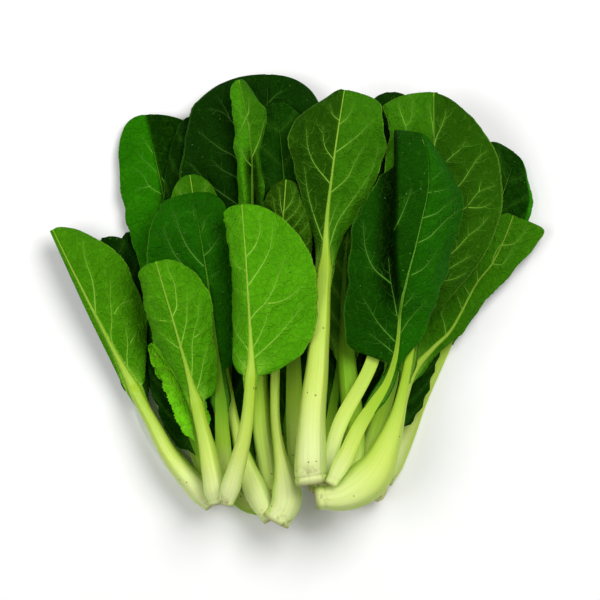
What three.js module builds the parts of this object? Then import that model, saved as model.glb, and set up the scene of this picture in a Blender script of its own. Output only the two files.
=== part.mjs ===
// A bunch of four small bok choy heads lying on their side, leaf tips towards +Y.
// Millimetres, +Z up. The bunch lies on the plane z = 0 with the origin under the middle of its box.
// Every leaf is a pale stalk, which runs on as the raised midrib, and a thin green blade on its inner side.

import * as THREE from "three";

// Sizes that every leaf shares
const BLADE_THICKNESS = 0.9;
const PIECE_GAP = 0.35;
const RIB_HALF_WIDTH_AT_TIP = 0.8;
const RIB_DEPTH_PER_HALF_WIDTH = 1.1;
const FLAT_BESIDE_RIB = 0.7;
const WING_AT_BLADE_START = 1.6;
const LEAST_BLADE_WIDTH = 0.3;
const STALK_INNER_DROP = BLADE_THICKNESS / 2 + PIECE_GAP;
const RIB_TAPER = 1.4;
const USUAL_BASE = [0.45, 0.07];
const BASE_THINNING = 0.6;
const STALK_THICKENING = 1.5;
const STALK_CUP = 0.5;
const CUP_TAPER = 1.2;
const DEEPEST_CUP = 3;
const FOLD_AT_MIDRIB = 0.6;
const FOLD_COMES_IN = 0.25;
const HALF_WAVES_ALONG_EDGE = 5;
const WAVE_STARTS = [0.8, 2.6];

// How finely a leaf is divided
const STALK_STEPS = 5;
const BLADE_STEPS = 9;
const STATIONS = STALK_STEPS + BLADE_STEPS;
const HALF_COLUMNS = 3;
const CROSS_STEPS = 12;
const SPINE_STEPS = 120;
const TIP_CROWDING = 1.45;

// How leaves lie on each other
const FLOOR_CELL = 1;
const SAMPLE_SPACING = 0.7;
const STEEPEST_BEND = 0.3;
const RESTING_DEPTH = 1;
const LINES_PER_COLUMN = 4096;

const STALK_COLOUR = 0xc9dd86;
const BACK_COLOUR = 0x5f9a22;
const UPPER_COLOUR = 0x1f6a1c;
const YOUNG_COLOUR = 0x4ba226;
const CROWN_COLOUR = 0xdfe6b4;

// One row for each leaf, lowest first.
// path: the midrib seen from above, from the base to the tip. face: the side of the blade that looks up.
// stalk: full width at the base and at the blade, thickness, and how quickly the base flares.
// start: where the blade begins, as a share of the leaf's length. half: half widths, left and right.
// widest: where each half is widest along the blade. tip: 0.3 is blunt, 0.8 is pointed.
// fold and curl: degrees that each half turns to the inner side, at the midrib and more towards the edge.
// wave: height of the waves in the edge. wing: share of the blade at its start that is only a narrow wing.
// base: how far the stalk narrows at its cut end, and the share of the leaf over which it does.
const LEAVES = [
  {
    head: "b", number: 5, face: "upper", colour: UPPER_COLOUR,
    path: [[-20, -119], [-36, -111], [-60, -76], [-82, -20], [-97, 37]],
    stalk: [10, 5, 4, 1.5], start: 0.46, half: [14, 15], widest: [0.5, 0.5], tip: [0.5, 0.5],
    fold: [8, 8], curl: [-20, -20], wave: 1.5,
  },
  {
    head: "a", number: 1, face: "upper", colour: UPPER_COLOUR,
    path: [[-50, -112], [-83, -71], [-98, -22], [-110, 34]],
    stalk: [11, 6, 5, 1.5], start: 0.46, half: [8, 20], widest: [0.5, 0.6], tip: [0.42, 0.42],
    fold: [6, 8], curl: [-12, -18], wave: 1.2,
  },
  {
    head: "a", number: 3, face: "upper", colour: UPPER_COLOUR,
    path: [[-51, -104], [-63, -70], [-67, -15], [-75, 45], [-87, 102]],
    stalk: [9, 6, 5, 1.5], start: 0.46, half: [26, 24], widest: [0.62, 0.6], tip: [0.4, 0.4],
    fold: [5, 14], curl: [-16, -14], wave: 1.5,
  },
  {
    head: "b", number: 4, face: "upper", colour: UPPER_COLOUR,
    path: [[-23, -112], [-42, -72], [-55, -20], [-61, 40], [-61, 101]],
    stalk: [11, 6, 5, 1.5], start: 0.44, half: [15, 16], widest: [0.6, 0.6], tip: [0.45, 0.45],
    fold: [10, 10], curl: [-14, -14], wave: 1.2,
  },
  {
    head: "d", number: 6, face: "upper", colour: UPPER_COLOUR,
    path: [[46, -103], [57, -78], [69, -49], [80, -26], [98, 20], [110, 54], [119, 80]],
    stalk: [12, 6, 6, 1.5], start: 0.48, half: [24, 17], widest: [0.6, 0.7], tip: [0.42, 0.4],
    fold: [8, 4], curl: [-16, -20], wave: 1.5,
  },

  {
    head: "c", number: 4, face: "upper", colour: UPPER_COLOUR,
    path: [[-4, -102], [-11, -70], [-15, -36], [-21, 41], [-19, 124]],
    stalk: [17, 10, 6, 1.5], start: 0.42, half: [46, 34], widest: [0.56, 0.7], tip: [0.4, 0.4],
    fold: [5, 8], curl: [-14, -16], wave: 2,
  },
  {
    head: "a", number: 8, face: "upper", colour: UPPER_COLOUR,
    path: [[-49, -101], [-64, -72], [-73, -44], [-82, -8]],
    stalk: [7, 4, 4, 1.5], start: 0.22, half: [11, 12], widest: [0.5, 0.5], tip: [0.5, 0.5],
    fold: [10, 10], curl: [-16, -16], wave: 1.6,
  },
  {
    head: "b", number: 6, face: "upper", colour: UPPER_COLOUR,
    path: [[-21, -105], [-36, -72], [-42, -44], [-45, -6]],
    stalk: [7, 4, 4, 1.5], start: 0.2, half: [16, 12], widest: [0.5, 0.5], tip: [0.5, 0.5],
    fold: [10, 10], curl: [-16, -16], wave: 1.4,
  },
  {
    head: "c", number: 6, face: "upper", colour: UPPER_COLOUR,
    path: [[-3, -100], [-9, -70], [-5, -40], [0, -4]],
    stalk: [8, 4, 4, 1.5], start: 0.3, half: [13, 12], widest: [0.5, 0.5], tip: [0.5, 0.5],
    fold: [10, 10], curl: [-16, -16], wave: 1.4,
  },
  {
    head: "d", number: 8, face: "upper", colour: UPPER_COLOUR,
    path: [[22, -103], [21, -76], [31, -44], [36, -8]],
    stalk: [11, 5, 4, 1.5], start: 0.24, half: [13, 13], widest: [0.5, 0.5], tip: [0.5, 0.5],
    fold: [10, 10], curl: [-16, -16], wave: 1.4,
  },
  {
    head: "d", number: 7, face: "upper", colour: UPPER_COLOUR,
    path: [[40, -103], [50, -74], [62, -42], [76, -4]],
    stalk: [9, 5, 5, 1.5], start: 0.34, half: [14, 9], widest: [0.5, 0.5], tip: [0.5, 0.5],
    fold: [10, 10], curl: [-16, -16], wave: 1.2,
  },
  {
    head: "c", number: 2, face: "upper", colour: UPPER_COLOUR,
    path: [[-1, -102], [-4, -70], [-5, -33], [-8, 38], [-14, 108]],
    stalk: [12, 7, 5, 1.5], start: 0.5, half: [19, 19], widest: [0.6, 0.6], tip: [0.45, 0.45],
    fold: [10, 10], curl: [-10, -14], wave: 1.5,
  },
  {
    head: "c", number: 5, face: "upper", colour: UPPER_COLOUR,
    path: [[10, -98], [17, -60], [21, -20], [23, 26]],
    stalk: [9, 5, 5, 1.5], start: 0.36, half: [12, 12], widest: [0.55, 0.55], tip: [0.5, 0.5],
    fold: [12, 12], curl: [-10, -10], wave: 1,
  },
  {
    head: "d", number: 5, face: "back", colour: BACK_COLOUR,
    path: [
      [42, -104], [50, -78], [56, -53], [62, -39], [73, -27],
      [82, -18], [97, 9], [105, 19], [111, 31], [117, 46],
    ],
    stalk: [13, 5, 6, 1.5], start: 0.4, half: [22, 20], widest: [0.6, 0.95], tip: [0.3, 0.1],
    fold: [6, 6], curl: [12, 16], wave: 1.2,
  },
  {
    head: "d", number: 2, face: "back", colour: BACK_COLOUR,
    path: [[29, -104], [36, -84], [45, -57], [49, -40], [50, 22], [47, 92]],
    stalk: [13, 8, 6, 1.5], start: 0.44, half: [19, 19], widest: [0.6, 0.6], tip: [0.45, 0.45],
    fold: [10, 10], curl: [12, 12], wave: 1.2,
  },
  {
    head: "b", number: 2, face: "back", colour: BACK_COLOUR,
    path: [[-17, -110], [-19, -92], [-22, -72], [-25, -10], [-27.5, 50], [-28, 78], [-30, 96], [-35, 120]],
    stalk: [13, 7, 5, 1.2], start: 0.5, half: [10, 15], widest: [0.55, 0.86], tip: [0.4, 0.4],
    fold: [30, 16], curl: [24, 16], wave: 0.8,
  },
  {
    head: "b", number: 1, face: "back", colour: BACK_COLOUR,
    path: [
      [-17, -122], [-22, -114], [-27, -103], [-33, -86],
      [-38, -66], [-43, -40], [-52, 0], [-62, 68],
    ],
    stalk: [24, 5, 6, 3], start: 0.46, half: [17, 17], widest: [0.6, 0.6], tip: [0.42, 0.42],
    fold: [8, 8], curl: [14, 14], wave: 1.2, base: [0.3, 0.12],
  },
  {
    head: "b", number: 3, face: "back", colour: YOUNG_COLOUR,
    path: [
      [-15, -123], [-9, -112], [-9, -103], [-11, -92], [-13, -82],
      [-15, -66], [-15, -40], [-14, -4], [-9, 65],
    ],
    stalk: [40, 5, 6, 5], start: 0.5, half: [15, 17], widest: [0.55, 0.5], tip: [0.42, 0.42],
    fold: [8, 8], curl: [16, 16], wave: 2, base: [0.3, 0.12],
  },
  {
    head: "d", number: 3, face: "back", colour: BACK_COLOUR,
    path: [[27, -104], [28, -74], [24, -30], [23, 10], [27, 60]],
    stalk: [14, 10, 6, 1.2], start: 0.46, half: [15, 15], widest: [0.6, 0.6], tip: [0.45, 0.45],
    fold: [8, 8], curl: [10, 10], wave: 1,
  },
  {
    head: "c", number: 3, face: "upper", colour: UPPER_COLOUR,
    path: [[12, -101], [19, -72], [38, -34], [48, 10], [51, 60], [49, 114]],
    stalk: [9, 7, 6, 1.5], start: 0.4, half: [23, 23], widest: [0.6, 0.6], tip: [0.42, 0.42],
    fold: [8, 8], curl: [-14, -16], wave: 1.5,
  },
  {
    head: "d", number: 1, face: "back", colour: BACK_COLOUR,
    path: [
      [7, -109], [22, -107], [38, -96], [47, -78], [52, -63],
      [56, -44], [64, 0], [71, 55], [72, 113],
    ],
    stalk: [46, 5, 6, 2], start: 0.4, half: [27, 38], widest: [0.55, 0.5], tip: [0.38, 0.8],
    fold: [5, 4], curl: [12, 14], wave: 1.5, base: [0.2, 0.15], wing: 0.17,
  },
  {
    head: "a", number: 2, face: "back", colour: BACK_COLOUR,
    path: [[-47, -114], [-79, -71], [-107, -15], [-136, 38]],
    stalk: [20, 10, 6, 1.2], start: 0.44, half: [10, 29], widest: [0.65, 0.6], tip: [0.33, 0.36],
    fold: [96, 10], curl: [20, 22], wave: 1.2,
  },
  {
    head: "a", number: 5, face: "upper", colour: UPPER_COLOUR,
    path: [[-43, -98], [-45, -55], [-51, 3], [-60, 58]],
    stalk: [11, 7, 5, 1.5], start: 0.27, half: [31, 18], widest: [0.55, 0.55], tip: [0.38, 0.4],
    fold: [5, -22], curl: [-14, -24], wave: 1.5, wing: 0.15,
  },
  {
    head: "a", number: 7, face: "upper", colour: YOUNG_COLOUR,
    path: [[-50, -98], [-56, -80], [-62, -61], [-70, -44], [-84, -25]],
    stalk: [7, 4, 4, 1.5], start: 0.3, half: [8, 9], widest: [0.5, 0.5], tip: [0.5, 0.5],
    fold: [8, 20], curl: [-16, 10], wave: 1.4,
  },
  {
    head: "c", number: 1, face: "back", colour: BACK_COLOUR,
    path: [
      [5.5, -101], [4.5, -94], [4.5, -85], [5.5, -62], [8.5, -31],
      [12.2, 19], [13.8, 47], [16, 66], [19.3, 91], [23, 114],
    ],
    stalk: [19, 8, 8, 1.2], start: 0.545, half: [29, 27], widest: [0.74, 0.76], tip: [0.45, 0.4],
    fold: [6, 6], curl: [12, 14], wave: 1.5, base: [0.85, 0.05],
  },
  {
    head: "d", number: 4, face: "upper", colour: UPPER_COLOUR,
    path: [
      [15, -101], [23, -86.5], [30, -71.5], [37.4, -59.4], [45.7, -46.4], [50, -34],
      [52, -22], [53.4, -5.5], [57, 12], [61, 27], [65, 44], [68, 59], [68, 75], [64, 90],
    ],
    stalk: [11, 6, 5, 1.2], start: 0.27, half: [33, 19], widest: [0.3, 0.66], tip: [0.3, 0.35],
    fold: [14, 6], curl: [-20, -14], wave: 1.5, wing: 0.14,
  },
  {
    head: "a", number: 4, face: "back", colour: BACK_COLOUR,
    path: [[-46, -113], [-55, -70], [-67, -25], [-80, 20]],
    stalk: [15, 7, 7, 1.5], start: 0.42, half: [16, 26], widest: [0.75, 0.58], tip: [0.36, 0.36],
    fold: [44, 8], curl: [24, 14], wave: 1.2,
  },
  {
    head: "a", number: 6, face: "back", colour: BACK_COLOUR,
    path: [[-42, -113], [-31, -72], [-28, -40], [-29, -6], [-33, 51]],
    stalk: [13, 6, 6, 1.6], start: 0.44, half: [16, 39], widest: [0.45, 0.46], tip: [0.35, 0.35],
    fold: [50, 6], curl: [16, 16], wave: 1.5,
  },
];

// The short stem in the middle of each head: its cut end, the way it points, and its widest radius.
const CROWNS = [
  { head: "a", base: [-46, -114], aim: 100, radius: 5.5 },
  { head: "b", base: [-16, -121], aim: 95, radius: 7 },
  { head: "c", base: [10, -108], aim: 98, radius: 7 },
  { head: "d", base: [37, -111], aim: 68, radius: 8 },
];
const CROWN_AFTER_LEAF = 6;
const CROWN_RANK_STEP = 0.01;
// The outline of a crown from its cut end up: distance along the stem and radius, as shares of its widest.
const CROWN_OUTLINE = [[0, 0], [0, 0.72], [0.3, 0.95], [0.9, 1], [1.7, 0.72], [2.3, 0.4], [2.6, 0]];
const CROWN_SIDES = 10;

const degrees = THREE.MathUtils.degToRad;
const mix = THREE.MathUtils.lerp;
const ease = (share) => THREE.MathUtils.smoothstep(share, 0, 1);

// Distance along a leaf, from 0 at its base to 1 at its tip, of each station
function stationAt(leaf, k) {
  if (k <= STALK_STEPS) return (leaf.start * k) / STALK_STEPS;
  const along = (k - STALK_STEPS) / BLADE_STEPS;
  return leaf.start + (1 - leaf.start) * (1 - (1 - along) ** TIP_CROWDING);
}

// The midrib as a curve
function spineOf(leaf) {
  const points = leaf.path.map(([x, y]) => new THREE.Vector3(x, y, 0));
  const curve = new THREE.CatmullRomCurve3(points, false, "centripetal");
  curve.arcLengthDivisions = SPINE_STEPS;
  return curve;
}

// A point of the midrib with the side to its right as seen from above, and the inner face's normal
function frameAt(leaf, curve, share) {
  const point = curve.getPointAt(share);
  const inner = new THREE.Vector3(0, 0, leaf.face === "back" ? -1 : 1);
  const up = new THREE.Vector3(0, 0, 1);
  const side = new THREE.Vector3().crossVectors(curve.getTangentAt(share), up).normalize();
  return { point, side, inner };
}

// Share of the blade's length at a station, and its half width on one side (0 left, 1 right)
const bladeShare = (leaf, share) => THREE.MathUtils.clamp((share - leaf.start) / (1 - leaf.start), 0, 1);

function halfWidth(leaf, share, which) {
  const onlyWing = leaf.wing ?? 0;
  const along = bladeShare(leaf, share);
  const t = Math.max(along - onlyWing, 0) / (1 - onlyWing);
  const widest = leaf.widest[which];
  const toTip = leaf.tip[which];
  const toBase = (widest * toTip) / (1 - widest);
  const peak = widest ** toBase * (1 - widest) ** toTip;
  const full = (leaf.half[which] * t ** toBase * (1 - t) ** toTip) / peak;
  const wing = (ribHalfWidth(leaf, share) + FLAT_BESIDE_RIB + WING_AT_BLADE_START) * (1 - along) ** 2;
  return Math.max(full, 0) + wing;
}

// Half width of the stalk, and of the midrib that it becomes
function ribHalfWidth(leaf, share) {
  const [base, neck, , flare] = leaf.stalk;
  if (share >= leaf.start) {
    const t = bladeShare(leaf, share);
    return RIB_HALF_WIDTH_AT_TIP + (neck / 2 - RIB_HALF_WIDTH_AT_TIP) * (1 - t) ** RIB_TAPER;
  }
  const open = (1 - share / leaf.start) ** flare;
  const [narrowing, length] = leaf.base ?? USUAL_BASE;
  const closing = mix(narrowing, 1, ease(share / length));
  return closing * mix(neck / 2, base / 2, open);
}

// One side of a blade's cross section, from the midrib out: distance to the side and to the inner face
function crossSection(leaf, share, which) {
  const flat = ribHalfWidth(leaf, share) + FLAT_BESIDE_RIB;
  const width = Math.max(halfWidth(leaf, share, which), flat + LEAST_BLADE_WIDTH);
  const fold = degrees(leaf.fold[which]) * ease(bladeShare(leaf, share) / FOLD_COMES_IN);
  const curl = degrees(leaf.curl[which]);
  const points = [[flat, 0]];
  let x = flat;
  let z = 0;
  const step = (width - flat) / CROSS_STEPS;
  for (let i = 0; i < CROSS_STEPS; i += 1) {
    const out = (i + 0.5) / CROSS_STEPS;
    const angle = fold * mix(FOLD_AT_MIDRIB, 1, out) + curl * out * out;
    x += step * Math.cos(angle);
    z += step * Math.sin(angle);
    points.push([x, z]);
  }
  return points;
}

// The middle surface of a blade at a station, out from the midrib's edge (0) to the leaf's edge (1)
function bladePoint(leaf, curve, share, which, out) {
  const { point, side, inner } = frameAt(leaf, curve, share);
  const section = crossSection(leaf, share, which);
  const place = out * CROSS_STEPS;
  const low = Math.min(Math.floor(place), CROSS_STEPS - 1);
  const x = mix(section[low][0], section[low + 1][0], place - low);
  const z = mix(section[low][1], section[low + 1][1], place - low);
  const t = bladeShare(leaf, share);
  const turn = Math.PI * HALF_WAVES_ALONG_EDGE * t + WAVE_STARTS[which] + leaf.number;
  const waves = leaf.wave * out * out * Math.sin(turn) * Math.sin(Math.PI * t);
  const sign = which === 0 ? -1 : 1;
  return point.clone().addScaledVector(side, sign * x).addScaledVector(inner, z + waves);
}

// A closed thin sheet from a grid of middle points: the two faces are split into triangles alike
function sheetFromRows(rows, tip, stations) {
  const wide = rows[0].length;
  const count = rows.length;
  const at = (i, j) => rows[i][j];
  const normals = rows.map((row, i) =>
    row.map((point, j) => {
      const next = i + 1 < count ? at(i + 1, j) : tip;
      const along = new THREE.Vector3().subVectors(next, at(Math.max(i - 1, 0), j));
      const across = new THREE.Vector3().subVectors(row[Math.min(j + 1, wide - 1)], row[Math.max(j - 1, 0)]);
      return new THREE.Vector3().crossVectors(across, along).normalize();
    }),
  );
  const tipNormal = new THREE.Vector3();
  for (const normal of normals[count - 1]) tipNormal.add(normal);
  tipNormal.normalize();
  const points = [];
  const stationOf = [];
  for (const sign of [1, -1]) {
    rows.forEach((row, i) =>
      row.forEach((point, j) => {
        points.push(point.clone().addScaledVector(normals[i][j], (sign * BLADE_THICKNESS) / 2));
        stationOf.push(stations[i]);
      }),
    );
    points.push(tip.clone().addScaledVector(tipNormal, (sign * BLADE_THICKNESS) / 2));
    stationOf.push(stations[count]);
  }
  const face = count * wide + 1;
  const front = (i, j) => (i === count ? face - 1 : i * wide + j);
  const triangles = [];
  for (let i = 0; i < count; i += 1) {
    for (let j = 0; j + 1 < wide; j += 1) {
      const [a, b, c, d] = [front(i, j), front(i, j + 1), front(i + 1, j + 1), front(i + 1, j)];
      if (i + 1 === count) triangles.push([a, b, c]);
      else if (j < wide / 2 - 1) triangles.push([a, b, c], [a, c, d]);
      else triangles.push([a, b, d], [b, c, d]);
    }
  }
  const back = triangles.map(([a, b, c]) => [a + face, c + face, b + face]);
  const rim = [];
  for (let j = 0; j < wide; j += 1) rim.push(front(0, j));
  for (let i = 1; i < count; i += 1) rim.push(front(i, wide - 1));
  rim.push(face - 1);
  for (let i = count - 1; i > 0; i -= 1) rim.push(front(i, 0));
  const edge = rim.flatMap((a, i) => {
    const b = rim[(i + 1) % rim.length];
    return [[a, a + face, b + face], [a, b + face, b]];
  });
  return { points, triangles: [...triangles, ...back, ...edge], stationOf };
}

function bladeShape(leaf, curve) {
  const rows = [];
  const stations = [];
  for (let k = STALK_STEPS; k < STATIONS; k += 1) {
    const share = stationAt(leaf, k);
    const row = [];
    for (let j = HALF_COLUMNS; j >= 0; j -= 1) row.push(bladePoint(leaf, curve, share, 0, j / HALF_COLUMNS));
    for (let j = 0; j <= HALF_COLUMNS; j += 1) row.push(bladePoint(leaf, curve, share, 1, j / HALF_COLUMNS));
    rows.push(row);
    stations.push(k);
  }
  stations.push(STATIONS);
  return sheetFromRows(rows, curve.getPointAt(1), stations);
}

// Where the points of a stalk's section lie across it, and whether each is on the outer side
const STALK_SECTION = [
  [-1, true], [-0.78, true], [-0.3, true], [0.3, true], [0.78, true], [1, true], [0.45, false], [-0.45, false],
];

function stalkShape(leaf, curve) {
  const [, neck, thick] = leaf.stalk;
  const last = STATIONS - 1;
  const points = [];
  const stationOf = [];
  for (let k = 0; k <= last; k += 1) {
    const share = stationAt(leaf, k);
    const { point, side, inner } = frameAt(leaf, curve, share);
    const half = ribHalfWidth(leaf, share);
    const below = Math.max(1 - share / leaf.start, 0);
    const thinning = mix(BASE_THINNING, 1, ease(share / USUAL_BASE[1]));
    const neckDepth = RIB_DEPTH_PER_HALF_WIDTH * (neck / 2);
    const stalkDepth = mix(neckDepth, thick, ease(below * STALK_THICKENING)) * thinning;
    const deep = share < leaf.start ? stalkDepth : RIB_DEPTH_PER_HALF_WIDTH * half;
    const cup = Math.min(STALK_CUP * half * below ** CUP_TAPER, DEEPEST_CUP);
    for (const [across, outer] of STALK_SECTION) {
      const height = cup * across * across - (outer ? deep * Math.sqrt(1 - across * across) : 0);
      points.push(
        point.clone().addScaledVector(side, half * across).addScaledVector(inner, height - STALK_INNER_DROP),
      );
      stationOf.push(k);
    }
  }
  const sides = STALK_SECTION.length;
  const triangles = [];
  for (let k = 0; k < last; k += 1) {
    for (let j = 0; j < sides; j += 1) {
      const [a, b] = [k * sides + j, k * sides + ((j + 1) % sides)];
      triangles.push([a, b, b + sides], [a, b + sides, a + sides]);
    }
  }
  const top = last * sides;
  for (const [a, b, c] of [[0, 7, 1], [1, 7, 2], [2, 7, 6], [2, 6, 3], [3, 6, 4], [4, 6, 5]]) {
    triangles.push([a, b, c], [top + a, top + c, top + b]);
  }
  return { points, triangles, stationOf, presses: true };
}

function crownShape(crown) {
  const { radius } = crown;
  const profile = CROWN_OUTLINE.map(([along, out]) => new THREE.Vector2(out * radius, along * radius));
  const lathe = new THREE.LatheGeometry(profile, CROWN_SIDES);
  lathe.rotateZ(degrees(crown.aim - 90));
  lathe.translate(crown.base[0], crown.base[1], 0);
  const position = lathe.getAttribute("position");
  const points = [];
  const known = new Map();
  const renamed = [];
  for (let i = 0; i < position.count; i += 1) {
    const point = new THREE.Vector3().fromBufferAttribute(position, i);
    const key = point.toArray().map((value) => value.toFixed(3)).join(" ");
    if (!known.has(key)) {
      known.set(key, points.length);
      points.push(point);
    }
    renamed.push(known.get(key));
  }
  const index = lathe.getIndex().array;
  const triangles = [];
  for (let i = 0; i < index.length; i += 3) {
    const corners = [renamed[index[i]], renamed[index[i + 1]], renamed[index[i + 2]]];
    if (new Set(corners).size === 3) triangles.push(corners);
  }
  return { points, triangles, stationOf: points.map(() => 0) };
}

// The cells of the surface that a shape covers, with its lowest and highest point and the station there
function coverage(shapes) {
  const cells = new Map();
  const note = (x, y, z, station) => {
    const column = Math.floor(x / FLOOR_CELL - 0.5);
    const line = Math.floor(y / FLOOR_CELL - 0.5);
    const first = column * LINES_PER_COLUMN + line;
    for (const key of [first, first + 1, first + LINES_PER_COLUMN, first + LINES_PER_COLUMN + 1]) {
      const cell = cells.get(key);
      if (!cell) cells.set(key, [z, station, z, station]);
      else {
        if (z < cell[0]) [cell[0], cell[1]] = [z, station];
        if (z > cell[2]) [cell[2], cell[3]] = [z, station];
      }
    }
  };
  for (const { points, triangles, stationOf } of shapes) {
    for (const [a, b, c] of triangles) {
      const longest = Math.max(
        points[a].distanceTo(points[b]), points[b].distanceTo(points[c]), points[c].distanceTo(points[a]),
      );
      const steps = Math.ceil(longest / SAMPLE_SPACING);
      for (let i = 0; i <= steps; i += 1) {
        for (let j = 0; j <= steps - i; j += 1) {
          const [u, v] = [i / steps, j / steps];
          const w = 1 - u - v;
          note(
            w * points[a].x + u * points[b].x + v * points[c].x,
            w * points[a].y + u * points[b].y + v * points[c].y,
            w * points[a].z + u * points[b].z + v * points[c].z,
            w * stationOf[a] + u * stationOf[b] + v * stationOf[c],
          );
        }
      }
    }
  }
  return cells;
}

const liftAt = (lift, station) => {
  const low = Math.min(Math.floor(station), lift.length - 2);
  return low < 0 ? lift[0] : mix(lift[low], lift[low + 1], station - low);
};

// A lift for each station that is nowhere less than is needed, bends gently and has no kinks
function smoothLift(need, spans) {
  const lift = [...need];
  const last = lift.length - 1;
  for (let k = 1; k <= last; k += 1) lift[k] = Math.max(lift[k], lift[k - 1] - STEEPEST_BEND * spans[k - 1]);
  for (let k = last - 1; k >= 0; k -= 1) lift[k] = Math.max(lift[k], lift[k + 1] - STEEPEST_BEND * spans[k]);
  const before = (k) => Math.max(k - 1, 0);
  const after = (k) => Math.min(k + 1, last);
  const spread = lift.map((value, k) => Math.max(value, lift[before(k)], lift[after(k)]));
  return spread.map((value, k) => (spread[before(k)] + 2 * value + spread[after(k)]) / 4);
}

// Lays every piece on the surface or on the pieces below it, in their order
function settle(pieces) {
  for (const piece of pieces) {
    piece.cells = coverage(piece.shapes);
    piece.lift = piece.spans.map(() => 0).concat(0);
    piece.floor = piece.lift.map(() => -Infinity);
    for (const { points, stationOf, presses } of piece.shapes) {
      points.forEach((point, i) => {
        const lowest = -point.z - (presses ? RESTING_DEPTH : 0);
        piece.floor[stationOf[i]] = Math.max(piece.floor[stationOf[i]], lowest);
      });
    }
  }
  const above = new Map();
  for (const piece of pieces) {
    for (const [key, cell] of piece.cells) {
      if (!above.has(key)) above.set(key, []);
      above.get(key).push([piece, cell]);
    }
  }
  for (const piece of pieces) {
    const need = [...piece.floor];
    for (const [key, [low, lowStation]] of piece.cells) {
      for (const [other, [, , high, highStation]] of above.get(key)) {
        if (other.rank >= piece.rank) continue;
        const wanted = high + liftAt(other.lift, highStation) + PIECE_GAP - low;
        const station = Math.floor(lowStation);
        need[station] = Math.max(need[station], wanted);
        if (lowStation > station) need[station + 1] = Math.max(need[station + 1], wanted);
      }
    }
    piece.lift = smoothLift(need, piece.spans);
  }
}

// A leaf as a piece that settles as one body: its stalk and its blade
function leafPiece(leaf, rank) {
  const curve = spineOf(leaf);
  const length = curve.getLength();
  const spans = [];
  for (let k = 0; k < STATIONS; k += 1) spans.push(length * (stationAt(leaf, k + 1) - stationAt(leaf, k)));
  const shapes = [stalkShape(leaf, curve), bladeShape(leaf, curve)];
  const name = `head_${leaf.head}_leaf_${leaf.number}`;
  return {
    rank, spans, shapes,
    parts: [[`${name}_stalk`, shapes[0], STALK_COLOUR], [`${name}_blade`, shapes[1], leaf.colour]],
  };
}

function crownPiece(crown, rank) {
  const shape = crownShape(crown);
  return {
    rank, spans: [0], shapes: [shape],
    parts: [[`head_${crown.head}_crown`, shape, CROWN_COLOUR]],
  };
}

function meshOf(name, shape, colour) {
  const corners = shape.triangles.map(([a, b, c]) => [shape.points[a], shape.points[b], shape.points[c]]);
  let volume = 0;
  for (const [a, b, c] of corners) volume += a.dot(new THREE.Vector3().crossVectors(b, c));
  const outward = corners.map(([a, b, c]) => (volume > 0 ? [a, b, c] : [a, c, b]));
  const positions = outward.flat().flatMap((point) => point.toArray());
  const geometry = new THREE.BufferGeometry();
  geometry.setAttribute("position", new THREE.Float32BufferAttribute(positions, 3));
  geometry.computeVertexNormals();
  const material = new THREE.MeshStandardMaterial({ color: colour, roughness: 0.5, metalness: 0 });
  const mesh = new THREE.Mesh(geometry, material);
  mesh.name = name;
  return mesh;
}

const leafPieces = LEAVES.map((leaf, i) => leafPiece(leaf, i));
const crownPieces = CROWNS.map((crown, i) => crownPiece(crown, CROWN_AFTER_LEAF - 0.5 + i * CROWN_RANK_STEP));
const pieces = [...leafPieces, ...crownPieces].sort((a, b) => a.rank - b.rank);
settle(pieces);

// The lowest stalks are pressed flat where the weight of the bunch rests on them
const box = new THREE.Box3();
for (const piece of pieces) {
  for (const shape of piece.shapes) {
    shape.points.forEach((point, i) => {
      point.z = Math.max(point.z + liftAt(piece.lift, shape.stationOf[i]), 0);
      box.expandByPoint(point);
    });
  }
}
const middle = box.getCenter(new THREE.Vector3()).setZ(0);
for (const piece of pieces) {
  for (const shape of piece.shapes) for (const point of shape.points) point.sub(middle);
}

const bunch = new THREE.Group();
for (const piece of pieces) for (const part of piece.parts) bunch.add(meshOf(...part));

export default bunch;
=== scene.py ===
# The looks of a bunch of four small bok choy heads that lie on their side, leaf tips towards +Y.
# Every leaf is a fleshy stalk, which runs on as the midrib, and a thin quilted blade on its inner side.

import math
from collections import namedtuple

import bmesh
import bpy
import mathutils
import numpy as np
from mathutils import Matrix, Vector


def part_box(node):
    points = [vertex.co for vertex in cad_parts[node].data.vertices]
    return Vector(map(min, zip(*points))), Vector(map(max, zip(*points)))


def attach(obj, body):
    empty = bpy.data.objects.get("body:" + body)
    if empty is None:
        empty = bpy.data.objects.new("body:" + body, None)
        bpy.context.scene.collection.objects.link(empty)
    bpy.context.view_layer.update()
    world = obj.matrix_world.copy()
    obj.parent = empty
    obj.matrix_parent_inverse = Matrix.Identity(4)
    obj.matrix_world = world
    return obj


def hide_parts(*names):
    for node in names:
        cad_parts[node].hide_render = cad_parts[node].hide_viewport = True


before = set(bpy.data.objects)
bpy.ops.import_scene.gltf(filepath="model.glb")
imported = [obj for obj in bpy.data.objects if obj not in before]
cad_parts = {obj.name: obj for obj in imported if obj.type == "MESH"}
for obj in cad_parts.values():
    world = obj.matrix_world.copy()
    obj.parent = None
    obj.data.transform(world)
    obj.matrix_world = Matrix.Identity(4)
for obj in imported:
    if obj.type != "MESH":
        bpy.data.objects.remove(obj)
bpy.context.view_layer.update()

MM = 0.001
# The frame's origin in the coordinates of the leaves' paths, in mm
BUNCH_MIDDLE = np.array([-1.3573, -0.9224])


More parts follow.
